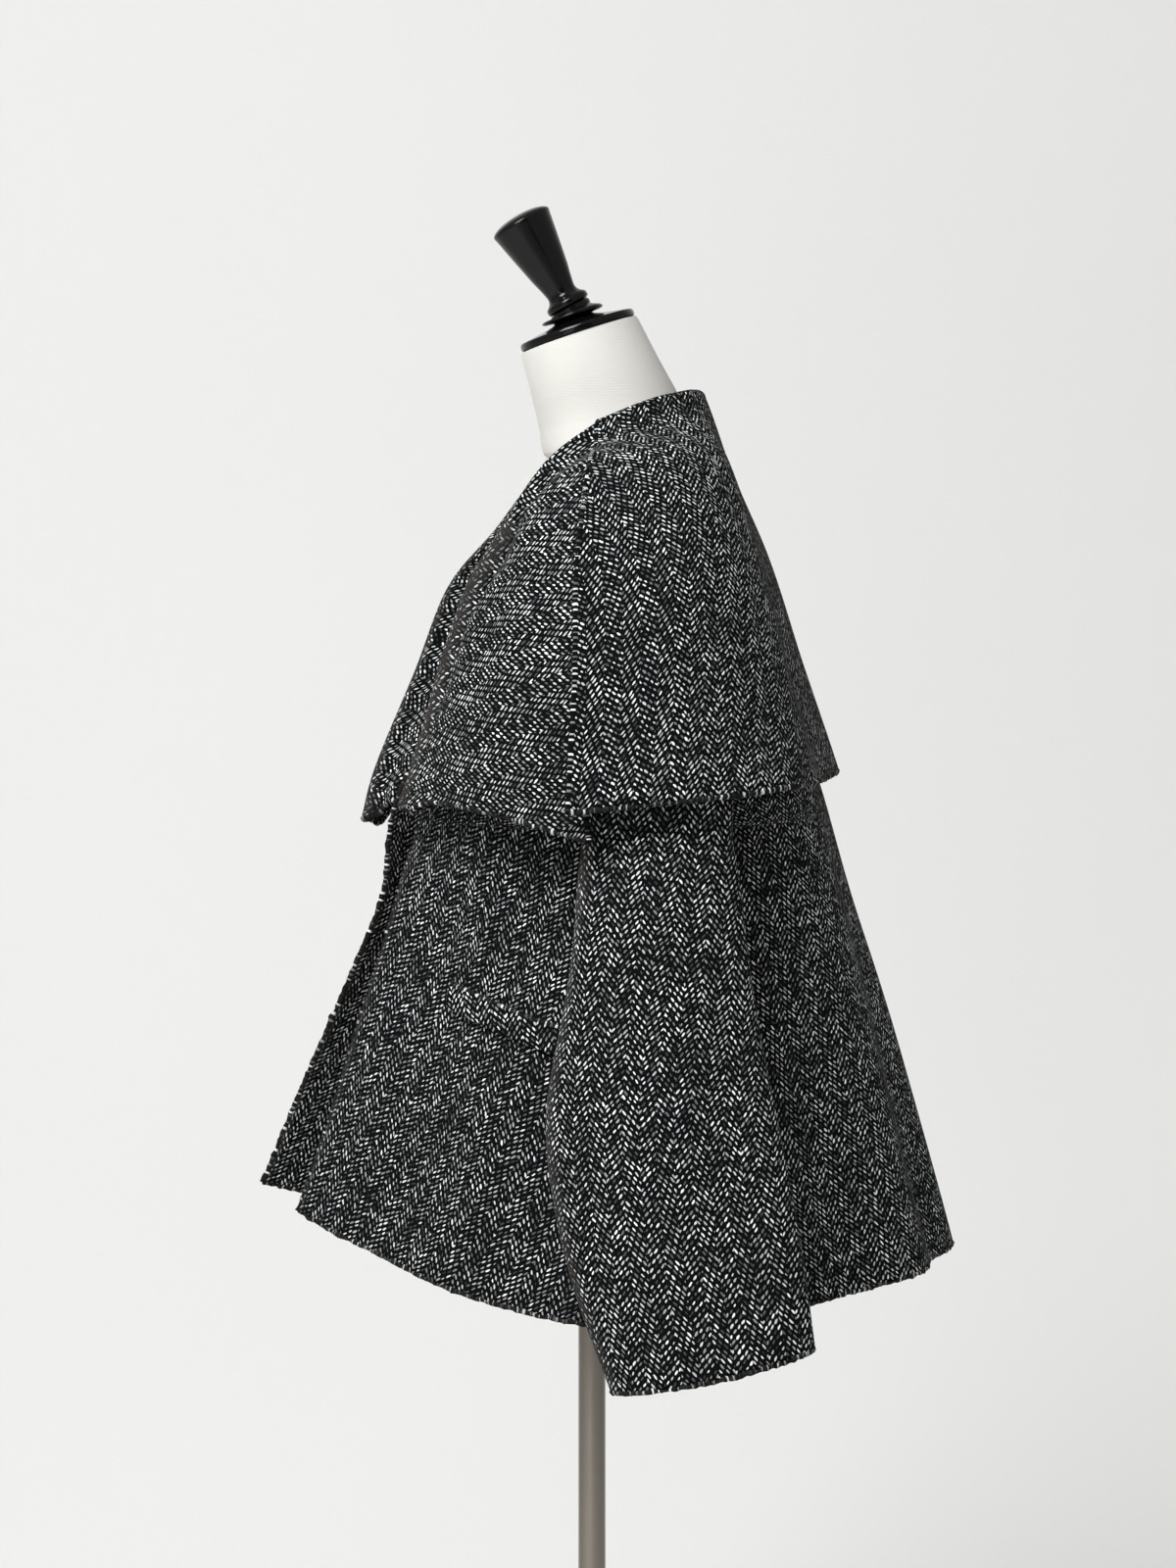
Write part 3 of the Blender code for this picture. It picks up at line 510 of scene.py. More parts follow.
def lengths_along(grid, axis):
    """Give the length along a line of points, or a grid's rows or columns, from the first."""
    steps = np.linalg.norm(np.diff(grid, axis=axis), axis=-1)
    start = np.zeros_like(np.take(steps, [0], axis=axis))
    return np.concatenate([start, np.cumsum(steps, axis=axis)], axis=axis)


def grid_normals(grid, closed=False):
    """Give the unit normal at each point of a grid of rows by columns."""
    down = np.gradient(grid, axis=0)
    if closed:
        across = np.roll(grid, -1, axis=1) - np.roll(grid, 1, axis=1)
    else:
        across = np.gradient(grid, axis=1)
    return unit(np.cross(across, down))


def body_points(u, height, right=False):
    """Give a row of the body. u is 0 centre back, 1 side seam and 2 front edge."""
    (half_width, side_y, back_y, back_rise, edge_x, edge_y, edge_rise, edge_turn,
     forward) = read(BODY_LEVELS, height)
    angle = np.minimum(u, 1) * math.pi / 2
    back = np.stack([half_width * np.sin(angle),
                     side_y + (back_y - side_y) * np.cos(angle),
                     height + back_rise * np.cos(angle)], axis=-1)
    t = np.maximum(u - 1, 0)[:, None]
    turn = math.radians(edge_turn)
    side = np.array([half_width, side_y])
    edge = np.array([edge_x, edge_y])
    reach = np.linalg.norm(edge - side) * EDGE_REACH
    leave = np.array([0.0, -1.0]) * reach
    arrive = np.array([-math.cos(turn), -math.sin(turn)]) * reach
    bend = t * t * (3 - 2 * t)
    plan = side * (1 - bend) + edge * bend + leave * t * (1 - t) ** 2 - arrive * t * t * (1 - t)
    rise = t ** RISE_POWER
    plan[:, 1:] -= (forward if right else 0.0) * rise
    front = np.concatenate([plan, height + edge_rise * rise], axis=1)
    return np.where(np.asarray(u)[:, None] <= 1, back, front)


def body_normals(u, height, right=False):
    """Give the outward directions of a row of the body."""
    across = (body_points(np.minimum(u + NORMAL_STEP, 2.0), height, right)
              - body_points(u - NORMAL_STEP, height, right))
    up = (body_points(u, min(height + NORMAL_STEP, NECK_LEVEL), right)
          - body_points(u, height - NORMAL_STEP, right))
    return unit(np.cross(up, across))


def body_rows():
    """Give the heights of the rows, with how far the armhole is open at each."""
    below = np.arange(HEM_LEVEL, ARMHOLE_BOTTOM - BODY_STEP / 2, BODY_STEP)
    turn = np.linspace(0, math.pi, ARMHOLE_STEPS + 1)
    beside = ARMHOLE_BOTTOM + (SHOULDER_TIP - ARMHOLE_BOTTOM) * (1 - np.cos(turn)) / 2
    above = np.linspace(SHOULDER_TIP, NECK_LEVEL, NECK_ROWS + 1)[1:]
    heights = np.concatenate([below, beside, above])
    shares = np.concatenate([0 * below, np.sin(turn), 0 * above])
    return [(float(h), max(float(s), 0.0)) for h, s in zip(heights, shares)]


def back_grid():
    """Give the outer points and normals of the back, from right side seam to left."""
    points, normals = [], []
    for height, open_share in body_rows():
        limit = 1 - ARMHOLE_INTO_BACK * open_share
        u = limit * np.linspace(-1, 1, BACK_COLUMNS + 1)
        side = np.ones((len(u), 3))
        side[:, 0] = np.where(u < 0, -1.0, 1.0)
        points.append(body_points(np.abs(u), height) * side)
        normals.append(body_normals(np.abs(u), height) * side)
    return np.array(points), np.array(normals)


def front_grid(right):
    """Give the outer points and normals of a front, from its side seam to its edge."""
    points, normals = [], []
    for height, open_share in body_rows():
        start = 1 + ARMHOLE_INTO_FRONT * open_share
        end = 2 - FRONT_NECK_CUT * max(height - FRONT_NECK_START, 0.0) / (
            NECK_LEVEL - FRONT_NECK_START)
        u = np.linspace(start, end, FRONT_COLUMNS + 1)
        points.append(body_points(u, height, right))
        normals.append(body_normals(u, height, right))
    return np.array(points), np.array(normals)


def armhole_ring(right):
    """Give the edge of the armhole: up the front from the underarm, down the back."""
    ring = []
    for step in range(2 * ARMHOLE_STEPS):
        back = step > ARMHOLE_STEPS
        rung = 2 * ARMHOLE_STEPS - step if back else step
        angle = math.pi * rung / ARMHOLE_STEPS
        height = ARMHOLE_BOTTOM + (SHOULDER_TIP - ARMHOLE_BOTTOM) * (1 - math.cos(angle)) / 2
        share = math.sin(angle) if 0 < rung < ARMHOLE_STEPS else 0.0
        u = 1 - ARMHOLE_INTO_BACK * share if back else 1 + ARMHOLE_INTO_FRONT * share
        ring.append(body_points(np.array([u]), height, right)[0])
    return np.array(ring)


def sleeve_ring(along):
    """Give one ring of the sleeve below the armhole, with the armhole's own steps."""
    (outer_x, outer_z, inner_x, inner_z, front_y, back_y, front_drop,
     back_drop) = read(SLEEVE_RINGS, along)
    middle_y, reach = (front_y + back_y) / 2, (back_y - front_y) / 2
    angle = math.pi * np.arange(2 * ARMHOLE_STEPS) / ARMHOLE_STEPS
    out = (1 - np.cos(angle)) / 2
    side = np.sin(angle)
    drop = front_drop * np.maximum(side, 0) + back_drop * np.maximum(-side, 0)
    return np.stack([inner_x + (outer_x - inner_x) * out, middle_y - reach * side,
                     inner_z + (outer_z - inner_z) * out + drop], axis=1)


def sleeve_grid(right):
    """Give the outer points of a sleeve, rings from the armhole to the hem."""
    edge = armhole_ring(right)
    inward = unit(edge.mean(axis=0) - edge)
    start = edge + inward * SLEEVE_GAP
    proud = start + np.array([SLEEVE_RISE, 0, 0]) + inward * SEAM
    head = sleeve_ring(SLEEVE_HEAD)
    rings = [start, proud] + [proud + (head - proud) * t for t in HEAD_STEPS]
    for along in np.linspace(SLEEVE_HEAD, 1.0, SLEEVE_ROWS):
        rings.append(sleeve_ring(along))
    return np.array(rings)


def section_curve(neck, lean, roll, radius, fall):
    """Give the points of a collar section: inner leaf, rolled edge, fall and hem."""
    lean = unit(lean)
    across = fall[0] - roll
    across = unit(across - lean * across.dot(lean))
    knots = list(neck)
    for turn in ROLL_TURNS:
        angle = math.radians(turn)
        knots.append(roll - lean * radius * (1 - math.cos(angle))
                     + across * radius * math.sin(angle))
    knots = np.array(knots + list(fall))
    lengths = lengths_along(knots, 0)
    share = np.linspace(0, 1, SECTION_POINTS)
    roll_end = lengths[ROLL_END]
    on_fall = roll_end + (lengths[-1] - roll_end) * (share - ROLL_SHARE) / (1 - ROLL_SHARE)
    at = np.where(share <= ROLL_SHARE, roll_end * share / ROLL_SHARE, on_fall)
    return smooth(lengths, knots, at)


def neck_seat(u, height, right, lift):
    """Give the first two points of the collar's inner leaf, above the edge of the body."""
    outward = body_normals(np.array([u]), height, right)[0]
    seat = body_points(np.array([u]), height, right)[0] + outward * lift
    return [seat, seat + outward * STAND_START]


def collar_back_grid():
    """Give the outer points of the collar's back piece, from right seam to left."""
    left = []
    for station in np.linspace(0, COLLAR_SEAM, COLLAR_COLUMNS // 2 + 1):
        values = read(COLLAR_BACK, station)
        neck = neck_seat(values[0], NECK_LEVEL, False, NECK_SEAM)
        lean = (-COLLAR_LEAN * station / COLLAR_BACK[-1][0], 0.0, 1.0)
        left.append(section_curve(neck, lean, values[1:4], values[4],
                                  values[5:].reshape(-1, 3)))
    return np.array([mirrored(section) for section in left[:0:-1]] + left)


def lapel_grid(right):
    """Give the outer points of a left lapel, from the collar's side seam to the break."""
    grid = []
    for station in np.linspace(0, LAPEL[-1][0], LAPEL_COLUMNS + 1):
        values = read(LAPEL, station)
        forward = np.array([0.0, *values[-2:]]) if right else np.zeros(3)
        neck = neck_seat(min(values[0], 2.0), min(values[1], NECK_LEVEL), right, LAPEL_SEAM)
        forward[1] -= SEAM_CLOSE * math.exp(-station / SEAM_CLOSE_REACH)
        grid.append(section_curve(neck, values[6:9], values[2:5] - forward, values[5],
                                  values[9:-2].reshape(-1, 3) - forward))
    return np.array(grid)


def folded(points, normals, table, across):
    """Lay the soft troughs and ridges of a table on a grid of points."""
    height, total = points[..., 2], np.zeros_like(across)
    for place, level, half_across, half_along, lean, depth in table[1:]:
        turn = math.radians(lean)
        sideways = across - place
        along = height - level
        a = (sideways * math.cos(turn) + along * math.sin(turn)) / half_across
        b = (along * math.cos(turn) - sideways * math.sin(turn)) / half_along
        total += depth * np.exp(-a * a - b * b)
    return points + normals * (total * bpy.context.scene.coat_cloth.fold_depth)[..., None]


def turned_grain(across, down):
    """Lay the grain of a front, which leans off the upright."""
    turn = math.radians(FRONT_GRAIN)
    return np.stack([across * math.cos(turn) - down * math.sin(turn),
                     across * math.sin(turn) + down * math.cos(turn)], axis=2)


def rim_tube(outer_edge, inner_edge, grain, wall, bumps, seed):
    """Give rings of a turned cloth edge with yarn bumps, and the grain at each point."""
    middle = (outer_edge + inner_edge) / 2
    length = lengths_along(middle, 0)
    at = np.linspace(0, length[-1], max(int(length[-1] / RIM_STEP), 4))
    outward = unit(outer_edge - inner_edge)

    def spread(values):
        return np.stack([np.interp(at, length, part) for part in values.T], axis=1)

    middle, outward, grain = spread(middle), unit(spread(outward)), spread(grain)
    along = unit(np.gradient(middle, axis=0))
    beside = unit(np.cross(along, outward))
    dice = np.random.RandomState(seed)
    rings = []
    for side in range(RIM_SIDES):
        turn = 2 * math.pi * side / RIM_SIDES
        rough = dice.normal(size=len(at))
        rough = (rough + np.roll(rough, 1) + 0.5 * np.roll(rough, 2)) / RIM_SMOOTHING
        radius = (wall / 2 + RIM_PROUD + bumps * rough * RIM_BUMP_SHARE)[:, None]
        rings.append(middle + radius * (math.cos(turn) * outward + math.sin(turn) * beside))
    return np.stack(rings, axis=1), np.repeat(grain[:, None], RIM_SIDES, axis=1)


def sheen_band(distance, reach):
    """Give how far painted sheen greys the weave along a fold seen edge on, by distance along the
    cloth.
    """
    return SHEEN_BAND_SHARE * np.clip(SHEEN_BAND_FULL - distance / reach, 0.0, 1.0)


def patch_faces(start, rows, count, closed):
    """Give the faces between neighbours of a grid of points, numbered from start."""
    row, step = np.meshgrid(np.arange(rows - 1), np.arange(count if closed else count - 1),
                            indexing="ij")
    a = (start + row * count + step).ravel()
    b = (start + row * count + (step + 1) % count).ravel()
    return np.stack([a, b, b + count, a + count], axis=1)


def cloth_object(name, outer, inner, grain, material, rims, seams=(), closed=False,
                 wall=BODY_WALL, painted_sheen=None, right=False):
    """Make one piece of cloth: a thin shell, closed at its edges, with turned rims.

    rims names the free edges and seams the sewn ones that are folded in, from "first row",
    "last row", "first column" and "last column". The grain is kept as a UV map in metres, and
    the painted sheen at each point as an attribute named rim: 1 on a free edge, where it is partly
    the grey of the fuzz, and higher in the painted sheen bands handed in along folds seen edge on.
    A piece of the wearer's right is handed in as on the left and mirrored here.
    """
    if right:
        outer, inner = mirrored(outer), mirrored(inner)
    rows, count = outer.shape[:2]
    steps = count if closed else count - 1
    under = rows * count
    skin = patch_faces(0, rows, count, closed)
    faces = [skin, under + skin[:, [0, 3, 2, 1]]]
    for edge in (0, rows - 1):
        a = edge * count + np.arange(steps)
        b = edge * count + (np.arange(steps) + 1) % count
        faces.append(np.stack([a, b, under + b, under + a], axis=1))
    if not closed:
        for edge in (0, count - 1):
            a = np.arange(rows - 1) * count + edge
            faces.append(np.stack([a, a + count, under + a + count, under + a], axis=1))
    points = [outer.reshape(-1, 3), inner.reshape(-1, 3)]
    grains = [grain.reshape(-1, 2), grain.reshape(-1, 2)]
    rim_mark = [np.zeros(2 * under) if painted_sheen is None else np.tile(painted_sheen.ravel(), 2)]
    total = 2 * under
    settings = bpy.context.scene.coat_cloth
    edges = {"first row": (0, slice(None)), "last row": (-1, slice(None)),
             "first column": (slice(None), 0), "last column": (slice(None), -1)}
    ends = []
    for place, key in enumerate((*rims, *seams)):
        line = [part[edges[key]] for part in (outer, inner, grain)]
        if closed:
            line = [np.concatenate([part, part[:1]]) for part in line]
        free = key in rims
        bumps = settings.rim_bumps if free else settings.rim_bumps * SEAM_BUMPS
        tube, tube_grain = rim_tube(*line, wall, bumps, RIM_SEED + place)
        span, around = tube.shape[:2]
        faces.append(patch_faces(total, span, around, True))
        ends.append(list(range(total, total + around)))
        ends.append(list(range(total + (span - 1) * around, total + span * around)))
        points.append(tube.reshape(-1, 3))
        grains.append(tube_grain.reshape(-1, 2))
        rim_mark.append(np.full(span * around, float(free)))
        total += span * around
    points, grains = np.concatenate(points), np.concatenate(grains)
    mesh = bpy.data.meshes.new(name)
    mesh.from_pydata(points.tolist(), [], np.concatenate(faces).tolist() + ends)
    work = bmesh.new()
    work.from_mesh(mesh)
    bmesh.ops.recalc_face_normals(work, faces=work.faces[:])
    work.to_mesh(mesh)
    work.free()
    corners = np.zeros(len(mesh.loops), dtype=np.int32)
    mesh.loops.foreach_get("vertex_index", corners)
    mesh.uv_layers.new(name="grain").data.foreach_set("uv", grains[corners].ravel())
    # The rim attribute carries painted sheen: partly the fuzz's grey on free rims, painted sheen
    # along the folds seen edge on.
    mark = mesh.attributes.new("rim", "FLOAT", "POINT")
    mark.data.foreach_set("value", np.concatenate(rim_mark))
    mesh.shade_smooth()
    piece = bpy.data.objects.new(name, mesh)
    bpy.context.collection.objects.link(piece)
    mesh.materials.append(material)
    return piece


def settle(piece, node):
    """Tie a piece to the frame."""
    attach(piece, "root")
    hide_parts(node)


def settle_cloth(piece, node):
    """Tie a piece of cloth to the frame."""
    settle(piece, node)


class Socket:
    """A value in a material, with the sums that add its Math nodes."""

    def __init__(self, recipe, socket):
        """Keep the material and the node's socket."""
        self.recipe = recipe
        self.socket = socket

    def sum(self, operation, first, second):
        """Add a Math node."""
        return self.recipe.node("ShaderNodeMath", {"operation": operation},
                                {0: first, 1: second})

    def floor(self):
        """Round down to a whole number."""
        return self.recipe.node("ShaderNodeMath", {"operation": "FLOOR"}, {0: self})

    def __add__(self, other):
        return self.sum("ADD", self, other)

    def __radd__(self, other):
        return self.sum("ADD", other, self)

    def __sub__(self, other):
        return self.sum("SUBTRACT", self, other)

    def __rsub__(self, other):
        return self.sum("SUBTRACT", other, self)

    def __mul__(self, other):
        return self.sum("MULTIPLY", self, other)

    def __rmul__(self, other):
        return self.sum("MULTIPLY", other, self)

    def __truediv__(self, other):
        return self.sum("DIVIDE", self, other)

    def __rtruediv__(self, other):
        return self.sum("DIVIDE", other, self)

    def __pow__(self, other):
        return self.sum("POWER", self, other)


class Recipe:
    """One material and its nodes."""

    def __init__(self, name, colour, roughness, **constants):
        """Start from the shader, with what is the same all over set on it."""
        self.material = bpy.data.materials.new(name)
        self.material.use_nodes = True
        self.tree = self.material.node_tree
        self.shader = self.tree.nodes["Principled BSDF"]
        self.shader.inputs["Base Color"].default_value = (*colour, 1.0)
        self.shader.inputs["Roughness"].default_value = roughness
        for key, value in constants.items():
            self.shader.inputs[key.replace("_", " ")].default_value = value
        self.material.diffuse_color = (*colour, 1.0)

    def node(self, kind, settings=None, inputs=None, output=0):
        """Add a node with its settings and the values or links of its sockets."""
        node = self.tree.nodes.new(kind)
        for name, value in (settings or {}).items():
            setattr(node, name, value)
        for key, value in (inputs or {}).items():
            if isinstance(value, Socket):
                self.tree.links.new(value.socket, node.inputs[key])
            else:
                node.inputs[key].default_value = value
        return Socket(self, node.outputs[output])

    def feed(self, key, value):
        """Link a value to the shader."""
        self.tree.links.new(value.socket, self.shader.inputs[key])

    def ramp(self, value, low, high, start=0.0, end=1.0):
        """Go softly from start to end while the value goes from low to high."""
        return self.node("ShaderNodeMapRange", {"interpolation_type": "SMOOTHSTEP"},
                         {0: value, 1: low, 2: high, 3: start, 4: end})

    def mix(self, share, first, second):
        """Mix two colours."""
        first = first if isinstance(first, Socket) else (*first, 1.0)
        second = second if isinstance(second, Socket) else (*second, 1.0)
        return self.node("ShaderNodeMix", {"data_type": "RGBA"},
                         {0: share, 6: first, 7: second}, 2)

    def noise(self, where, scale, detail=2.0):
        """Give soft noise at a scale in turns for each metre."""
        return self.node("ShaderNodeTexNoise", None,
                         {"Vector": where, "Scale": scale, "Detail": detail})

    def own_place(self):
        """Give the place on the object, in metres."""
        return self.node("ShaderNodeTexCoord", None, None, 3)

    def parts(self, kind, value, count):
        """Take a vector or a colour apart into its first numbers."""
        whole = self.node(kind, None, {0: value}).socket.node
        return [Socket(self, whole.outputs[place]) for place in range(count)]

    def bump(self, height, distance, strength=1.0):
        """Raise the surface by a height."""
        self.feed("Normal", self.node("ShaderNodeBump", None, {
            "Height": height, "Distance": distance, "Strength": strength}))


def wool_material(part):
    """Make the herringbone wool: pale slubs in slanting lines on a dark ground, with painted light
    and shade for its piece and painted sheen where it is seen edge on and on its rims.
    """
    cloth = bpy.context.scene.coat_cloth
    recipe = Recipe("wool " + part, WOOL_COLOUR, 0.92, Specular_IOR_Level=0.02)
    where = recipe.node("ShaderNodeUVMap", {"uv_map": "grain"})
    place, down = recipe.parts("ShaderNodeSeparateXYZ", where, 2)
    stray = recipe.node("ShaderNodeTexNoise", None,
                        {"Vector": where, "Scale": STRAY_SCALE, "Detail": 2.0}, 1)
    stray, stray_down = recipe.parts("ShaderNodeSeparateColor", stray, 2)
    width, pitch = cloth.column_width, cloth.twill_pitch
    across = place + (stray - 0.5) * STRAY_REACH
    down = down + (stray_down - 0.5) * STRAY_REACH
    strip = (across / width).floor()
    leg = recipe.node("ShaderNodeMath", {"operation": "PINGPONG"}, {0: across, 1: width})
    line = (down - leg) / pitch
    line_number = line.floor()
    from_line = line - line_number - 0.5
    dash = leg / (width / SLUBS_WIDE) + line_number * LINE_SHIFT + strip * COLUMN_SHIFT
    dash_number = dash.floor()
    from_dash = dash - dash_number - 0.5
    key = recipe.node("ShaderNodeCombineXYZ", None, {0: strip, 1: line_number, 2: dash_number})
    dice = recipe.node("ShaderNodeTexWhiteNoise", {"noise_dimensions": "3D"}, {"Vector": key}, 1)
    luck, slip, plump = recipe.parts("ShaderNodeSeparateColor", dice, 3)
    from_line = from_line + (slip - 0.5) * SLUB_SLIP
    away = from_line * from_line * SLUB_THINNESS + from_dash * from_dash * SLUB_SHORTNESS
    slub = recipe.ramp(away / (SLUB_SIZE[0] + plump * SLUB_SIZE[1]), *SLUB_EDGE)
    patch = recipe.ramp(recipe.noise(where, PATCH_SCALE), *PATCHES)
    share = PALE_SHARE[0] + luck ** PALE_RARITY * PALE_SHARE[1]
    # Painted light and shade: the slubs of each piece are brightened or darkened to stand in for
    # how the light falls on it.
    pale = slub * share * patch * PAINTED_LIGHT[part]
    fuzz = recipe.noise(where, FUZZ_SCALE, 3.0)
    dark, white = tuple(cloth.dark_yarn), tuple(cloth.pale_yarn)
    weave = recipe.mix(pale, recipe.mix(recipe.ramp(fuzz, *HAZE), dark, white), white)
    # Painted sheen: the lint grey is mixed in where the surface is seen edge on.
    lint_and_sheen = recipe.mix(recipe.ramp(fuzz, *LINT_SHEEN_SPREAD), LINT_SHEEN_DARK, LINT_SHEEN_PALE)
    glance = recipe.node("ShaderNodeLayerWeight", None, {"Blend": 0.5}, 1)
    weave = recipe.mix(recipe.ramp(glance, *FACING_SHEEN), weave, lint_and_sheen)
    # The rim attribute lays painted sheen, the lint grey, on the rims and along the folds seen
    # edge on; on free rims it is partly the grey of their fuzz.
    rim = recipe.node("ShaderNodeAttribute", {"attribute_name": "rim"}, None, 2)
    recipe.feed("Base Color", recipe.mix(rim * (RIM_LINT_AND_SHEEN[0] - pale * RIM_LINT_AND_SHEEN[1]), weave, lint_and_sheen))
    recipe.bump(pale * 0.8 + fuzz * 0.35, SLUB_RELIEF, 0.8)
    return recipe.material


def cover_material():
    """Make the cream cover of the form: fine close cloth, very even."""
    cover = tuple(bpy.context.scene.coat_form.cover)
    recipe = Recipe("cream cover", cover, 0.8, Sheen_Weight=0.15, Specular_IOR_Level=0.3)
    where = recipe.own_place()
    height = recipe.parts("ShaderNodeSeparateXYZ", where, 3)[2]
    threads = recipe.node("ShaderNodeMath", {"operation": "SINE"}, {0: height * COVER_THREADS})
    cloudy = recipe.noise(where, COVER_CLOUDS, 3.0)
    grain = recipe.noise(where, COVER_GRAIN)
    shaded = tuple(part * COVER_SHADE for part in cover)
    recipe.feed("Base Color", recipe.mix(recipe.ramp(cloudy, 0.3, 0.7), shaded, cover))
    recipe.bump(threads * 0.3 + grain, COVER_RELIEF, 0.5)
    return recipe.material


def lacquer_material():
    """Make the black gloss of the cap and the knob, with faint turning marks."""
    recipe = Recipe("black gloss", tuple(bpy.context.scene.coat_form.lacquer), 0.10,
                    Coat_Weight=0.12, Coat_Roughness=0.04, Specular_IOR_Level=0.16)
    where = recipe.own_place()
    haze = recipe.noise(where, GLOSS_HAZE, 4.0)
    recipe.feed("Roughness", recipe.ramp(haze, *MARKED, *GLOSS_ROUGHNESS))
    recipe.bump(recipe.noise(where, GLOSS_MARKS), GLOSS_RELIEF, 0.12)
    return recipe.material


def chrome_material(name, low, high):
    """Make polished metal with faint wiping marks."""
    recipe = Recipe(name, tuple(bpy.context.scene.coat_form.chrome), low, Metallic=1.0)
    where = recipe.own_place()
    marks = recipe.noise(where, WIPING_MARKS, 5.0)
    recipe.feed("Roughness", recipe.ramp(marks, *MARKED, low, high))
    return recipe.material


def back_piece():
    """Make the back of the coat."""
    outer, normals = back_grid()
    across = lengths_along(outer, 1)
    across = across - across[:, -1:] / 2
    outer = folded(outer, normals, BACK_FOLDS, across)
    grain = np.stack([across, lengths_along(outer, 0)], axis=2)
    return outer, outer - normals * BODY_WALL, grain


def front_piece(right):
    """Make a front of the coat on the wearer's left, with the right one's own hang."""
    outer, normals = front_grid(right)
    across = lengths_along(outer, 1)
    across = across[:, -1:] - across
    outer = folded(outer, normals, RIGHT_FRONT_FOLDS if right else FRONT_FOLDS, across)
    grain = turned_grain(across, lengths_along(outer, 0))
    return outer, outer - normals * BODY_WALL, grain


class COAT_OT_body(bpy.types.Operator):
    """Make the back and the two fronts of the coat"""

    bl_idname = "coat.body"
    bl_label = "Back and fronts"

    def execute(self, context):
        """Build the three body pieces."""
        back_wool = wool_material("back")
        # Lit and shaded copies of the wool for the two fronts: painted light and shade.
        wools = {False: wool_material("left front"), True: wool_material("right front")}
        piece = cloth_object("back", *back_piece(), back_wool, ("first row", "last row"))
        settle_cloth(piece, "coat_back")
        for side, right in SIDES:
            outer, inner, grain = front_piece(right)
            # Painted sheen along the front edge, which is seen edge on.
            length = lengths_along(outer, 1)
            painted_sheen = sheen_band(length[:, -1:] - length, FRONT_EDGE_REACH)
            piece = cloth_object("front_" + side, outer, inner, grain, wools[right],
                                 ("first row", "last column"), painted_sheen=painted_sheen, right=right)
            settle_cloth(piece, "coat_front_" + side)
        return {"FINISHED"}


class COAT_OT_sleeves(bpy.types.Operator):
    """Make the two wide, empty sleeves"""

    bl_idname = "coat.sleeves"
    bl_label = "Sleeves"

    def execute(self, context):
        """Build both sleeves."""
        wool = wool_material("sleeve")
        for side, right in SIDES:
            outer = sleeve_grid(right)
            normals = -grid_normals(outer, closed=True)
            looped = np.concatenate([outer, outer[:, :1]], axis=1)
            around = lengths_along(looped * LEVEL, 1)[:, :-1]
            across = around - around[:, ARMHOLE_STEPS:ARMHOLE_STEPS + 1]
            down = outer[..., 2]
            outer = folded(outer, normals, SLEEVE_FOLDS, across)
            inner = outer - normals * SLEEVE_WALL
            grain = np.stack([across - SLEEVE_TWIST * down, down], axis=2)
            # Painted sheen along the sleeve's front fold, which is seen edge on.
            fore = np.take_along_axis(around, np.argmin(outer[..., 1], axis=1)[:, None], axis=1)
            painted_sheen = sheen_band(np.abs(around - fore), SLEEVE_EDGE_REACH)
            piece = cloth_object("sleeve_cloth_" + side, outer, inner, grain, wool,
                                 ("last row",), closed=True, wall=SLEEVE_WALL, painted_sheen=painted_sheen,
                                 right=right)
            settle_cloth(piece, "sleeve_" + side)
        return {"FINISHED"}


def collar_walls():
    """Give the collar's wall along a section, thinned to its neck seam."""
    shares, parts = np.array(SEAM_THINNING).T
    return COLLAR_WALL * np.interp(np.linspace(0, 1, SECTION_POINTS), shares, parts)


def fan_grain(grid):
    """Lay the grain of a flared piece flat, as its pattern is cut."""
    middle = grid.shape[0] // 2
    across = lengths_along(grid, 0)
    across = across - across[middle:middle + 1]
    down = lengths_along(grid, 1)
    start = int(SECTION_POINTS * ROLL_SHARE)
    narrow, wide = across[-1, start], across[-1, -1]
    apex = narrow * (down[middle, -1] - down[middle, start]) / (wide - narrow)
    radius = apex + down - down[:, start:start + 1]
    turn = np.abs(across) / radius - math.radians(COLLAR_GRAIN)
    sideways = np.sign(across) * (radius * np.sin(turn) + FAN_START)
    return np.stack([sideways, radius * np.cos(turn)], axis=2)


def lapel_grain(grid, along):
    """Lay a lapel's grain flat: across the fall, then square to the roll line above it."""
    start = int(SECTION_POINTS * ROLL_SHARE)
    down = lengths_along(grid, 1)
    fallen = grid[:, start:start + 1, 2] - down + down[:, start:start + 1]
    grain = np.stack([(grid[..., 2] + fallen) / 2, along], axis=2)
    line = unit(np.gradient(grain[:, start], axis=0))
    square = np.stack([line[:, 1], -line[:, 0]], axis=1)
    over = down[:, start:start + 1] - down[:, :start]
    grain[:, :start] = grain[:, start:start + 1] + square[:, None] * over[..., None]
    return grain


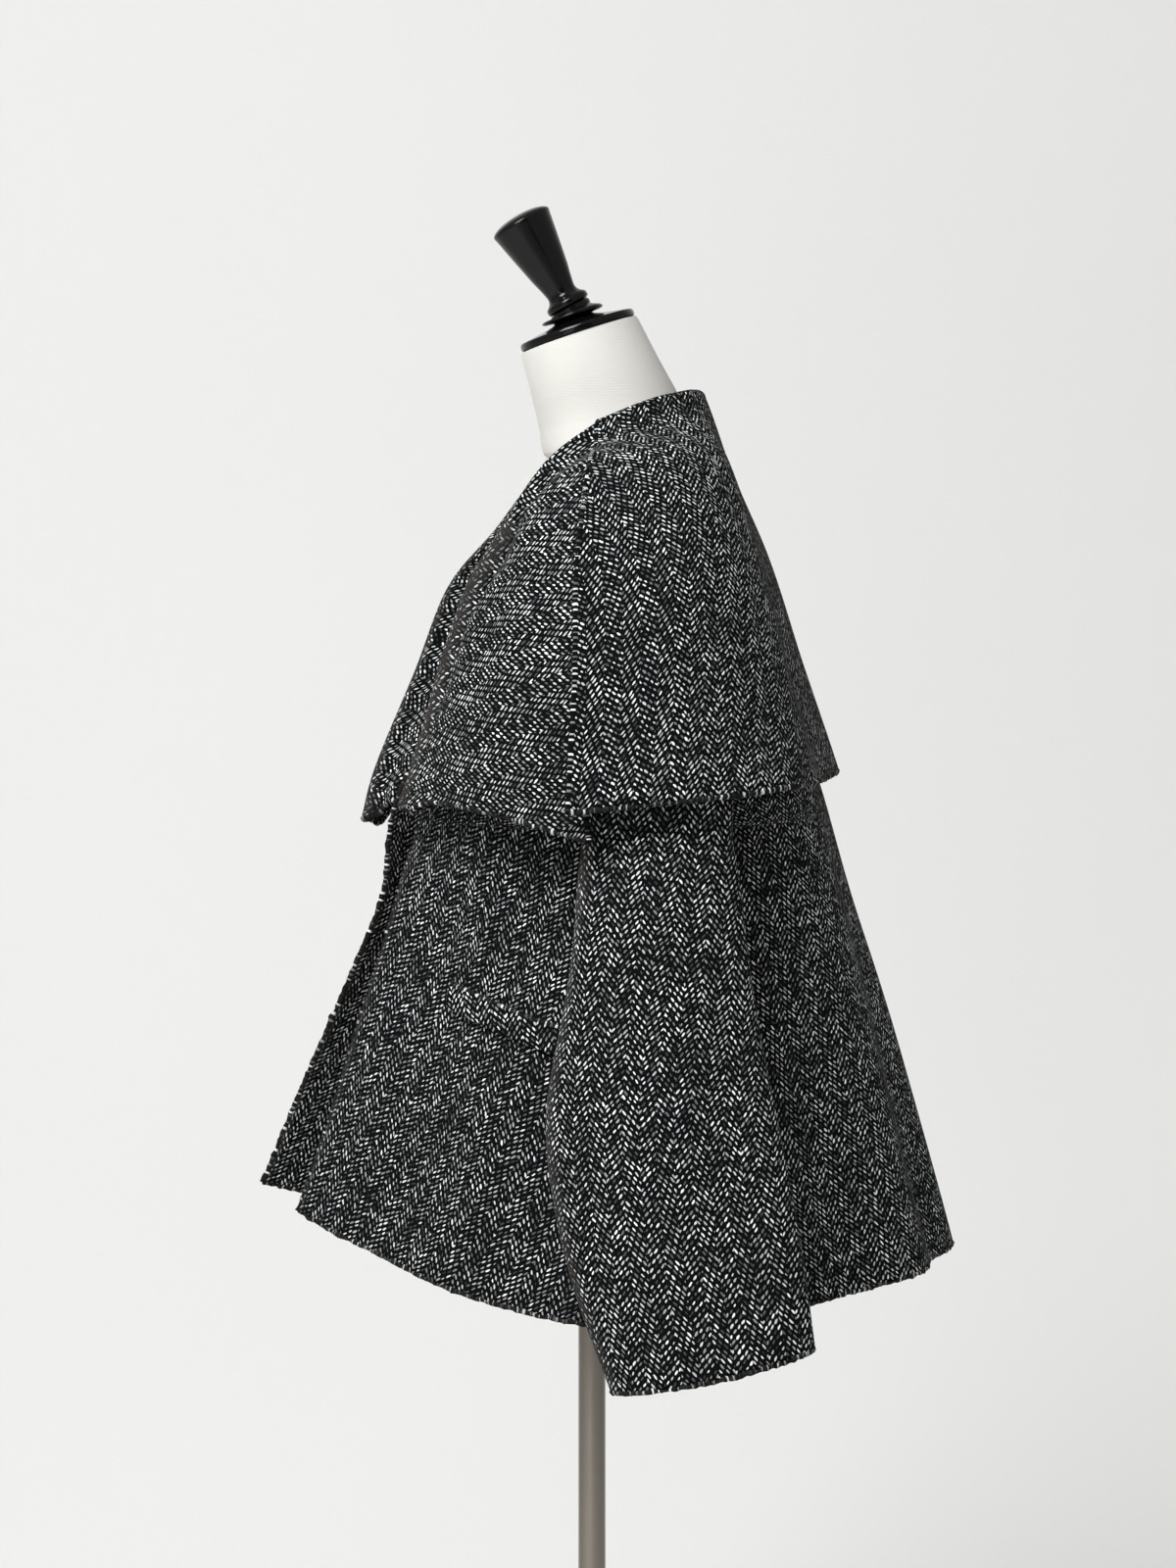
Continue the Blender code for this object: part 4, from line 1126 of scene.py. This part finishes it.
class COAT_OT_collar(bpy.types.Operator):
    """Make the cape collar: its back piece and the two lapels"""

    bl_idname = "coat.collar"
    bl_label = "Cape collar"

    def execute(self, context):
        """Build the three collar pieces."""
        walls = collar_walls()[None, :, None]
        wool = wool_material("collar")
        grid = collar_back_grid()
        normals = -grid_normals(grid)
        across = lengths_along(grid, 0)
        across = across - across[len(grid) // 2][None]
        grain = fan_grain(grid)
        outer = folded(grid, normals, COLLAR_FOLDS, across)
        piece = cloth_object("collar_cape", outer, outer - normals * walls, grain, wool,
                             ("last column",), ("first row", "last row"), wall=COLLAR_WALL)
        settle_cloth(piece, "collar_back")
        for side, right in SIDES:
            grid = lapel_grid(right)
            normals = -grid_normals(grid)
            along = grid[..., 0] * LAPEL_RUN[0] + grid[..., 1] * LAPEL_RUN[1] + LAPEL_START
            outer = folded(grid, normals, LAPEL_FOLDS, along)
            inner = outer - normals * walls
            grain = lapel_grain(grid, along)
            length = lengths_along(outer, 1)
            # Painted sheen along the lapel's roll, from its second station on.
            turned = outer[:, :SECTION_POINTS // 2, 1]
            fore = np.take_along_axis(length, np.argmin(turned, axis=1)[:, None], axis=1)
            start = np.clip(np.linspace(0, LAPEL[-1][0], len(grid)) - 1.0, 0.0, 1.0)[:, None]
            painted_sheen = start * sheen_band(np.abs(length - fore), LAPEL_EDGE_REACH)
            piece = cloth_object("lapel_cloth_" + side, outer, inner, grain, wool,
                                 ("last column", "last row"), ("first row",),
                                 wall=COLLAR_WALL, painted_sheen=painted_sheen, right=right)
            settle_cloth(piece, "lapel_" + side)
        return {"FINISHED"}


class COAT_OT_welts(bpy.types.Operator):
    """Make the slanted pocket welt on each front"""

    bl_idname = "coat.welts"
    bl_label = "Pocket welts"

    def execute(self, context):
        """Build both welts."""
        wool = wool_material("welt")
        for side, right in SIDES:
            start, end = np.array(WELT_SIDE_END), np.array(WELT_FRONT_END)
            grid, normals = [], []
            for t in np.linspace(0, 1, WELT_COLUMNS + 1):
                u, height = start + (end - start) * t
                for row in range(WELT_ROWS + 1):
                    level = height - WELT_HEIGHT * row / WELT_ROWS
                    grid.append(body_points(np.array([u]), level, right)[0])
                    normals.append(body_normals(np.array([u]), level, right)[0])
            shape = (WELT_COLUMNS + 1, WELT_ROWS + 1, 3)
            grid, normals = np.array(grid).reshape(shape), np.array(normals).reshape(shape)
            rows = np.linspace(0, 1, WELT_ROWS + 1)[None, :, None]
            puff = WELT_PUFF * np.maximum(np.sin(math.pi * rows), 0.0) ** WELT_CROWN
            inner = grid + normals * SEAM
            outer = inner + normals * (WELT_WALL + puff)
            grain = turned_grain(-lengths_along(grid * LEVEL, 0), -grid[..., 2])
            piece = cloth_object("welt_" + side, outer, inner, grain, wool, ("first column",),
                                 wall=WELT_WALL, right=right)
            settle_cloth(piece, "pocket_welt_" + side)
        return {"FINISHED"}


def raised(name, rings, sides, material, rounding=0.0):
    """Raise a piece ring by ring from a circle: each ring is a middle and two half sizes."""
    bpy.ops.object.select_all(action="DESELECT")
    (x, y, z), half_x, half_y = rings[0]
    bpy.ops.mesh.primitive_circle_add(vertices=sides, radius=1.0, fill_type="NGON",
                                      location=(0, 0, 0))
    piece = bpy.context.object
    piece.name = name
    bpy.ops.object.mode_set(mode="EDIT")
    bpy.ops.mesh.select_all(action="SELECT")
    bpy.ops.transform.resize(value=(half_x, half_y, 1), center_override=(0, 0, 0))
    bpy.ops.transform.translate(value=(x, y, z))
    for (next_x, next_y, next_z), next_half_x, next_half_y in rings[1:]:
        bpy.ops.mesh.extrude_region_move(
            TRANSFORM_OT_translate={"value": (next_x - x, next_y - y, next_z - z)})
        bpy.ops.transform.resize(value=(next_half_x / half_x, next_half_y / half_y, 1),
                                 center_override=(next_x, next_y, next_z))
        x, y, z, half_x, half_y = next_x, next_y, next_z, next_half_x, next_half_y
    bpy.ops.mesh.select_all(action="SELECT")
    bpy.ops.mesh.normals_make_consistent(inside=False)
    bpy.ops.object.mode_set(mode="OBJECT")
    if rounding:
        bevel = piece.modifiers.new("Rounded edges", "BEVEL")
        bevel.width = rounding
        bevel.segments = 2
        bevel.limit_method = "ANGLE"
        bevel.angle_limit = math.radians(ROUNDED_ANGLE)
        bpy.ops.object.modifier_apply(modifier=bevel.name)
    bpy.ops.object.shade_smooth_by_angle(angle=math.radians(SHARP_ANGLE))
    piece.data.materials.append(material)
    return piece


def round_rings(profile):
    """Give the rings of a turned piece from pairs of radius and height."""
    return [((0.0, 0.0, height), radius, radius) for radius, height in profile]


def tilt_rings(piece, rings, tilts, keep_plan=False):
    """Tilt single rings of a raised piece forward, each about its own middle."""
    heights = np.array([vertex.co.z for vertex in piece.data.vertices])
    bpy.ops.object.mode_set(mode="EDIT")
    bpy.ops.mesh.select_mode(type="VERT")
    for (middle, _, _), tilt in zip(rings, tilts):
        if tilt > LEAST_TILT:
            bpy.ops.mesh.select_all(action="DESELECT")
            bpy.ops.object.mode_set(mode="OBJECT")
            for place in np.flatnonzero(np.abs(heights - middle[2]) < SAME_HEIGHT):
                piece.data.vertices[place].select = True
            bpy.ops.object.mode_set(mode="EDIT")
            bpy.ops.transform.rotate(value=-tilt, orient_axis="X", center_override=middle)
            if keep_plan:
                grow = 1 / math.cos(tilt)
                bpy.ops.transform.resize(value=(1, grow, grow), center_override=middle)
    bpy.ops.object.mode_set(mode="OBJECT")


def lean_axis(degrees):
    """Give the axis of a piece that leans forward."""
    return np.array([0.0, -math.sin(math.radians(degrees)), math.cos(math.radians(degrees))])


def lean_piece(piece, degrees, foot):
    """Lean a piece forward about its foot and put it in its place."""
    bpy.ops.object.select_all(action="DESELECT")
    piece.select_set(True)
    bpy.context.view_layer.objects.active = piece
    piece.rotation_euler = (math.radians(degrees), 0, 0)
    piece.location = tuple(foot)
    bpy.ops.object.transform_apply(location=True, rotation=True, scale=True)


class COAT_OT_torso(bpy.types.Operator):
    """Make the limbless torso with its neck"""

    bl_idname = "coat.torso"
    bl_label = "Form torso"

    def execute(self, context):
        """Raise the torso ring by ring, then tilt the rings of its neck."""
        heights = column(FORM_RINGS, "height")
        between = np.linspace(heights[2], heights[-3], FORM_ROWS)
        levels = np.unique(np.concatenate([heights, between]))
        rings, tilts = [], []
        for height in levels:
            half, front, back, tilt = read(FORM_RINGS, height)
            rings.append(((0.0, (front + back) / 2, height), half, (back - front) / 2))
            tilts.append(math.radians(max(tilt, 0.0)))
        piece = raised("torso", rings, FORM_SIDES, cover_material())
        tilt_rings(piece, rings, tilts, keep_plan=True)
        settle(piece, "form_torso")
        return {"FINISHED"}


class COAT_OT_cap(bpy.types.Operator):
    """Make the black neck cap and the flared knob on it"""

    bl_idname = "coat.cap"
    bl_label = "Neck cap and knob"

    def execute(self, context):
        """Raise the cap and the knob upright, then lean them forward."""
        lacquer = lacquer_material()
        axis = lean_axis(NECK_LEAN)
        foot = np.array([0.0, NECK_TOP[1], NECK_TOP[0]]) + axis * SEAM
        rings = round_rings([row[:2] for row in CAP_PROFILE])
        cap = raised("neck_cap", rings, TURNED_SIDES, lacquer)
        tilts = [math.radians(row[2] - NECK_LEAN) for row in CAP_PROFILE]
        tilt_rings(cap, rings, tilts)
        lean_piece(cap, NECK_LEAN, foot)
        settle(cap, "form_neck_cap")
        knob = raised("knob", round_rings(KNOB_PROFILE), TURNED_SIDES, lacquer)
        lean_piece(knob, KNOB_LEAN, foot + axis * CAP_PROFILE[-1][1] + lean_axis(KNOB_LEAN) * SEAM)
        settle(knob, "form_knob")
        return {"FINISHED"}


class COAT_OT_stand(bpy.types.Operator):
    """Make the chrome pole and its round base plate"""

    bl_idname = "coat.stand"
    bl_label = "Pole and base"

    def execute(self, context):
        """Raise the pole and the plate, with rounded edges."""
        top = FORM_RINGS[1][0] - SEAM
        rings = round_rings([(POLE_RADIUS, BASE_THICKNESS + SEAM), (POLE_RADIUS, top)])
        pole = raised("pole", rings, TURNED_SIDES, chrome_material("chrome pole", *POLE_ROUGHNESS))
        settle(pole, "form_pole")
        rings = round_rings([(BASE_RADIUS - EDGE_ROUNDING, 0.0), (BASE_RADIUS, EDGE_ROUNDING),
                             (BASE_RADIUS, BASE_THICKNESS - BASE_CHAMFER),
                             (BASE_RADIUS - BASE_CHAMFER, BASE_THICKNESS)])
        base = raised("base_plate", rings, TURNED_SIDES,
                      chrome_material("chrome base", *BASE_ROUGHNESS), EDGE_ROUNDING)
        settle(base, "form_base")
        return {"FINISHED"}


def area_light(name, place, aim, size, power):
    """Add a soft light that looks at a point."""
    data = bpy.data.lights.new(name, "AREA")
    data.shape = "RECTANGLE"
    data.size, data.size_y = size
    data.energy = power
    light = bpy.data.objects.new(name, data)
    bpy.context.collection.objects.link(light)
    away = np.array(place, float) - np.array(aim, float)
    flat = math.hypot(away[0], away[1])
    light.location = place
    light.rotation_euler = (math.atan2(flat, away[2]), 0, math.atan2(away[0], -away[1]))
    return light


def sweep(name):
    """Make the floor and the wall behind as one sheet with a wide curve between them."""
    bpy.ops.object.select_all(action="DESELECT")
    bpy.ops.mesh.primitive_plane_add(size=2.0, location=(0, 0, 0))
    floor = bpy.context.object
    floor.name = name
    bpy.ops.object.mode_set(mode="EDIT")
    bpy.ops.transform.resize(value=(SWEEP_HALF, SWEEP_HALF, 1), center_override=(0, 0, 0))
    bpy.ops.transform.translate(value=(SWEEP_HALF + SWEEP_WALL, 0, -FLOOR_GAP))
    bpy.ops.mesh.select_all(action="DESELECT")
    bpy.ops.mesh.select_mode(type="EDGE")
    bpy.ops.object.mode_set(mode="OBJECT")
    for edge in floor.data.edges:
        edge.select = all(floor.data.vertices[v].co.x < SWEEP_WALL + 0.01 for v in edge.vertices)
    bpy.ops.object.mode_set(mode="EDIT")
    bpy.ops.mesh.extrude_region_move(TRANSFORM_OT_translate={"value": (0, 0, SWEEP_RISE)})
    bpy.ops.mesh.select_all(action="SELECT")
    bpy.ops.object.mode_set(mode="OBJECT")
    bevel = floor.modifiers.new("Sweep", "BEVEL")
    bevel.width = SWEEP_CURVE
    bevel.segments = SWEEP_STEPS
    bevel.limit_method = "ANGLE"
    bpy.ops.object.modifier_apply(modifier=bevel.name)
    bpy.ops.object.shade_smooth()
    return floor


def studio_sky(world, strength):
    """Light the studio evenly, with the dark room beyond the camera."""
    tree = world.node_tree
    sky = tree.nodes["Background"]
    sky.inputs["Strength"].default_value = strength
    where = tree.nodes.new("ShaderNodeTexCoord")
    place = tree.nodes.new("ShaderNodeSeparateXYZ")
    room = tree.nodes.new("ShaderNodeMapRange")
    room.interpolation_type = "SMOOTHSTEP"
    room.inputs["From Min"].default_value = ROOM_STARTS
    room.inputs["From Max"].default_value = ROOM_FULL
    paint = tree.nodes.new("ShaderNodeMix")
    paint.data_type = "RGBA"
    paint.inputs[6].default_value = (*SKY_PALE, 1)
    paint.inputs[7].default_value = (*SKY_DARK, 1)
    tree.links.new(where.outputs["Generated"], place.inputs[0])
    tree.links.new(place.outputs[0], room.inputs["Value"])
    tree.links.new(room.outputs[0], paint.inputs[0])
    tree.links.new(paint.outputs[2], sky.inputs["Color"])


class COAT_OT_stage(bpy.types.Operator):
    """Make the pale wall and floor, the lights and the camera"""

    bl_idname = "coat.stage"
    bl_label = "Stage, light and camera"

    def execute(self, context):
        """Build the stage."""
        settings = context.scene.coat_stage
        floor = sweep("studio_sweep")
        wall = tuple(settings.wall)
        recipe = Recipe("studio wall", wall, 0.95)
        where = recipe.own_place()
        shade = recipe.ramp(recipe.noise(where, 0.7, 2.0), 0.3, 0.7)
        shaded = tuple(part * WALL_SHADE for part in wall)
        recipe.feed("Base Color", recipe.mix(shade, shaded, wall))
        behind = recipe.node("ShaderNodeNewGeometry", None, None, 6)
        recipe.feed("Alpha", 1.0 - behind)
        floor.data.materials.append(recipe.material)
        world = context.scene.world or bpy.data.worlds.new("studio light")
        context.scene.world = world
        world.use_nodes = True
        studio_sky(world, settings.sky_light)
        area_light("key light", *KEY_LIGHT, settings.key_light)
        area_light("fill light", *FILL_LIGHT, settings.fill_light)
        data = bpy.data.cameras.new("camera")
        data.sensor_width = SENSOR
        data.lens = SENSOR * CAMERA_AWAY / VIEW_HEIGHT
        data.shift_x, data.shift_y = VIEW_SHIFT
        camera = bpy.data.objects.new("camera", data)
        context.collection.objects.link(camera)
        turn = math.radians(CAMERA_TURN)
        camera.location = (CAMERA_AWAY * math.cos(turn), -CAMERA_AWAY * math.sin(turn),
                           CAMERA_HEIGHT)
        camera.rotation_euler = (math.pi / 2, 0, math.pi / 2 - turn)
        context.scene.camera = camera
        context.scene.view_settings.view_transform = "Standard"
        return {"FINISHED"}


class COAT_PT_parts(bpy.types.Panel):
    """List the coat's pieces in the sidebar"""

    bl_idname = "COAT_PT_parts"
    bl_label = "Cape coat"
    bl_space_type = "VIEW_3D"
    bl_region_type = "UI"
    bl_category = "Cape coat"

    def draw(self, context):
        """Show the sizes and a button for each piece."""
        for settings in (context.scene.coat_cloth, context.scene.coat_form,
                         context.scene.coat_stage):
            box = self.layout.box()
            for key in settings.bl_rna.properties.keys():
                if key not in ("rna_type", "name"):
                    box.prop(settings, key)
        for step in STEPS:
            self.layout.operator(step.bl_idname)


STEPS = (COAT_OT_torso, COAT_OT_cap, COAT_OT_stand, COAT_OT_body, COAT_OT_sleeves,
         COAT_OT_collar, COAT_OT_welts, COAT_OT_stage)
SETTINGS = (("coat_cloth", CoatSettings), ("coat_form", FormSettings),
            ("coat_stage", StageSettings))


def register():
    """Make the settings, the operators and the panel known."""
    for name, kind in SETTINGS:
        bpy.utils.register_class(kind)
        setattr(bpy.types.Scene, name, bpy.props.PointerProperty(type=kind))
    for kind in (*STEPS, COAT_PT_parts):
        bpy.utils.register_class(kind)


def unregister():
    """Forget them again."""
    for kind in (COAT_PT_parts, *reversed(STEPS)):
        bpy.utils.unregister_class(kind)
    for name, kind in reversed(SETTINGS):
        delattr(bpy.types.Scene, name)
        bpy.utils.unregister_class(kind)


def main():
    """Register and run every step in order."""
    register()
    bpy.ops.coat.torso()
    bpy.ops.coat.cap()
    bpy.ops.coat.stand()
    bpy.ops.coat.body()
    bpy.ops.coat.sleeves()
    bpy.ops.coat.collar()
    bpy.ops.coat.welts()
    bpy.ops.coat.stage()


if __name__ == "__main__":
    main()
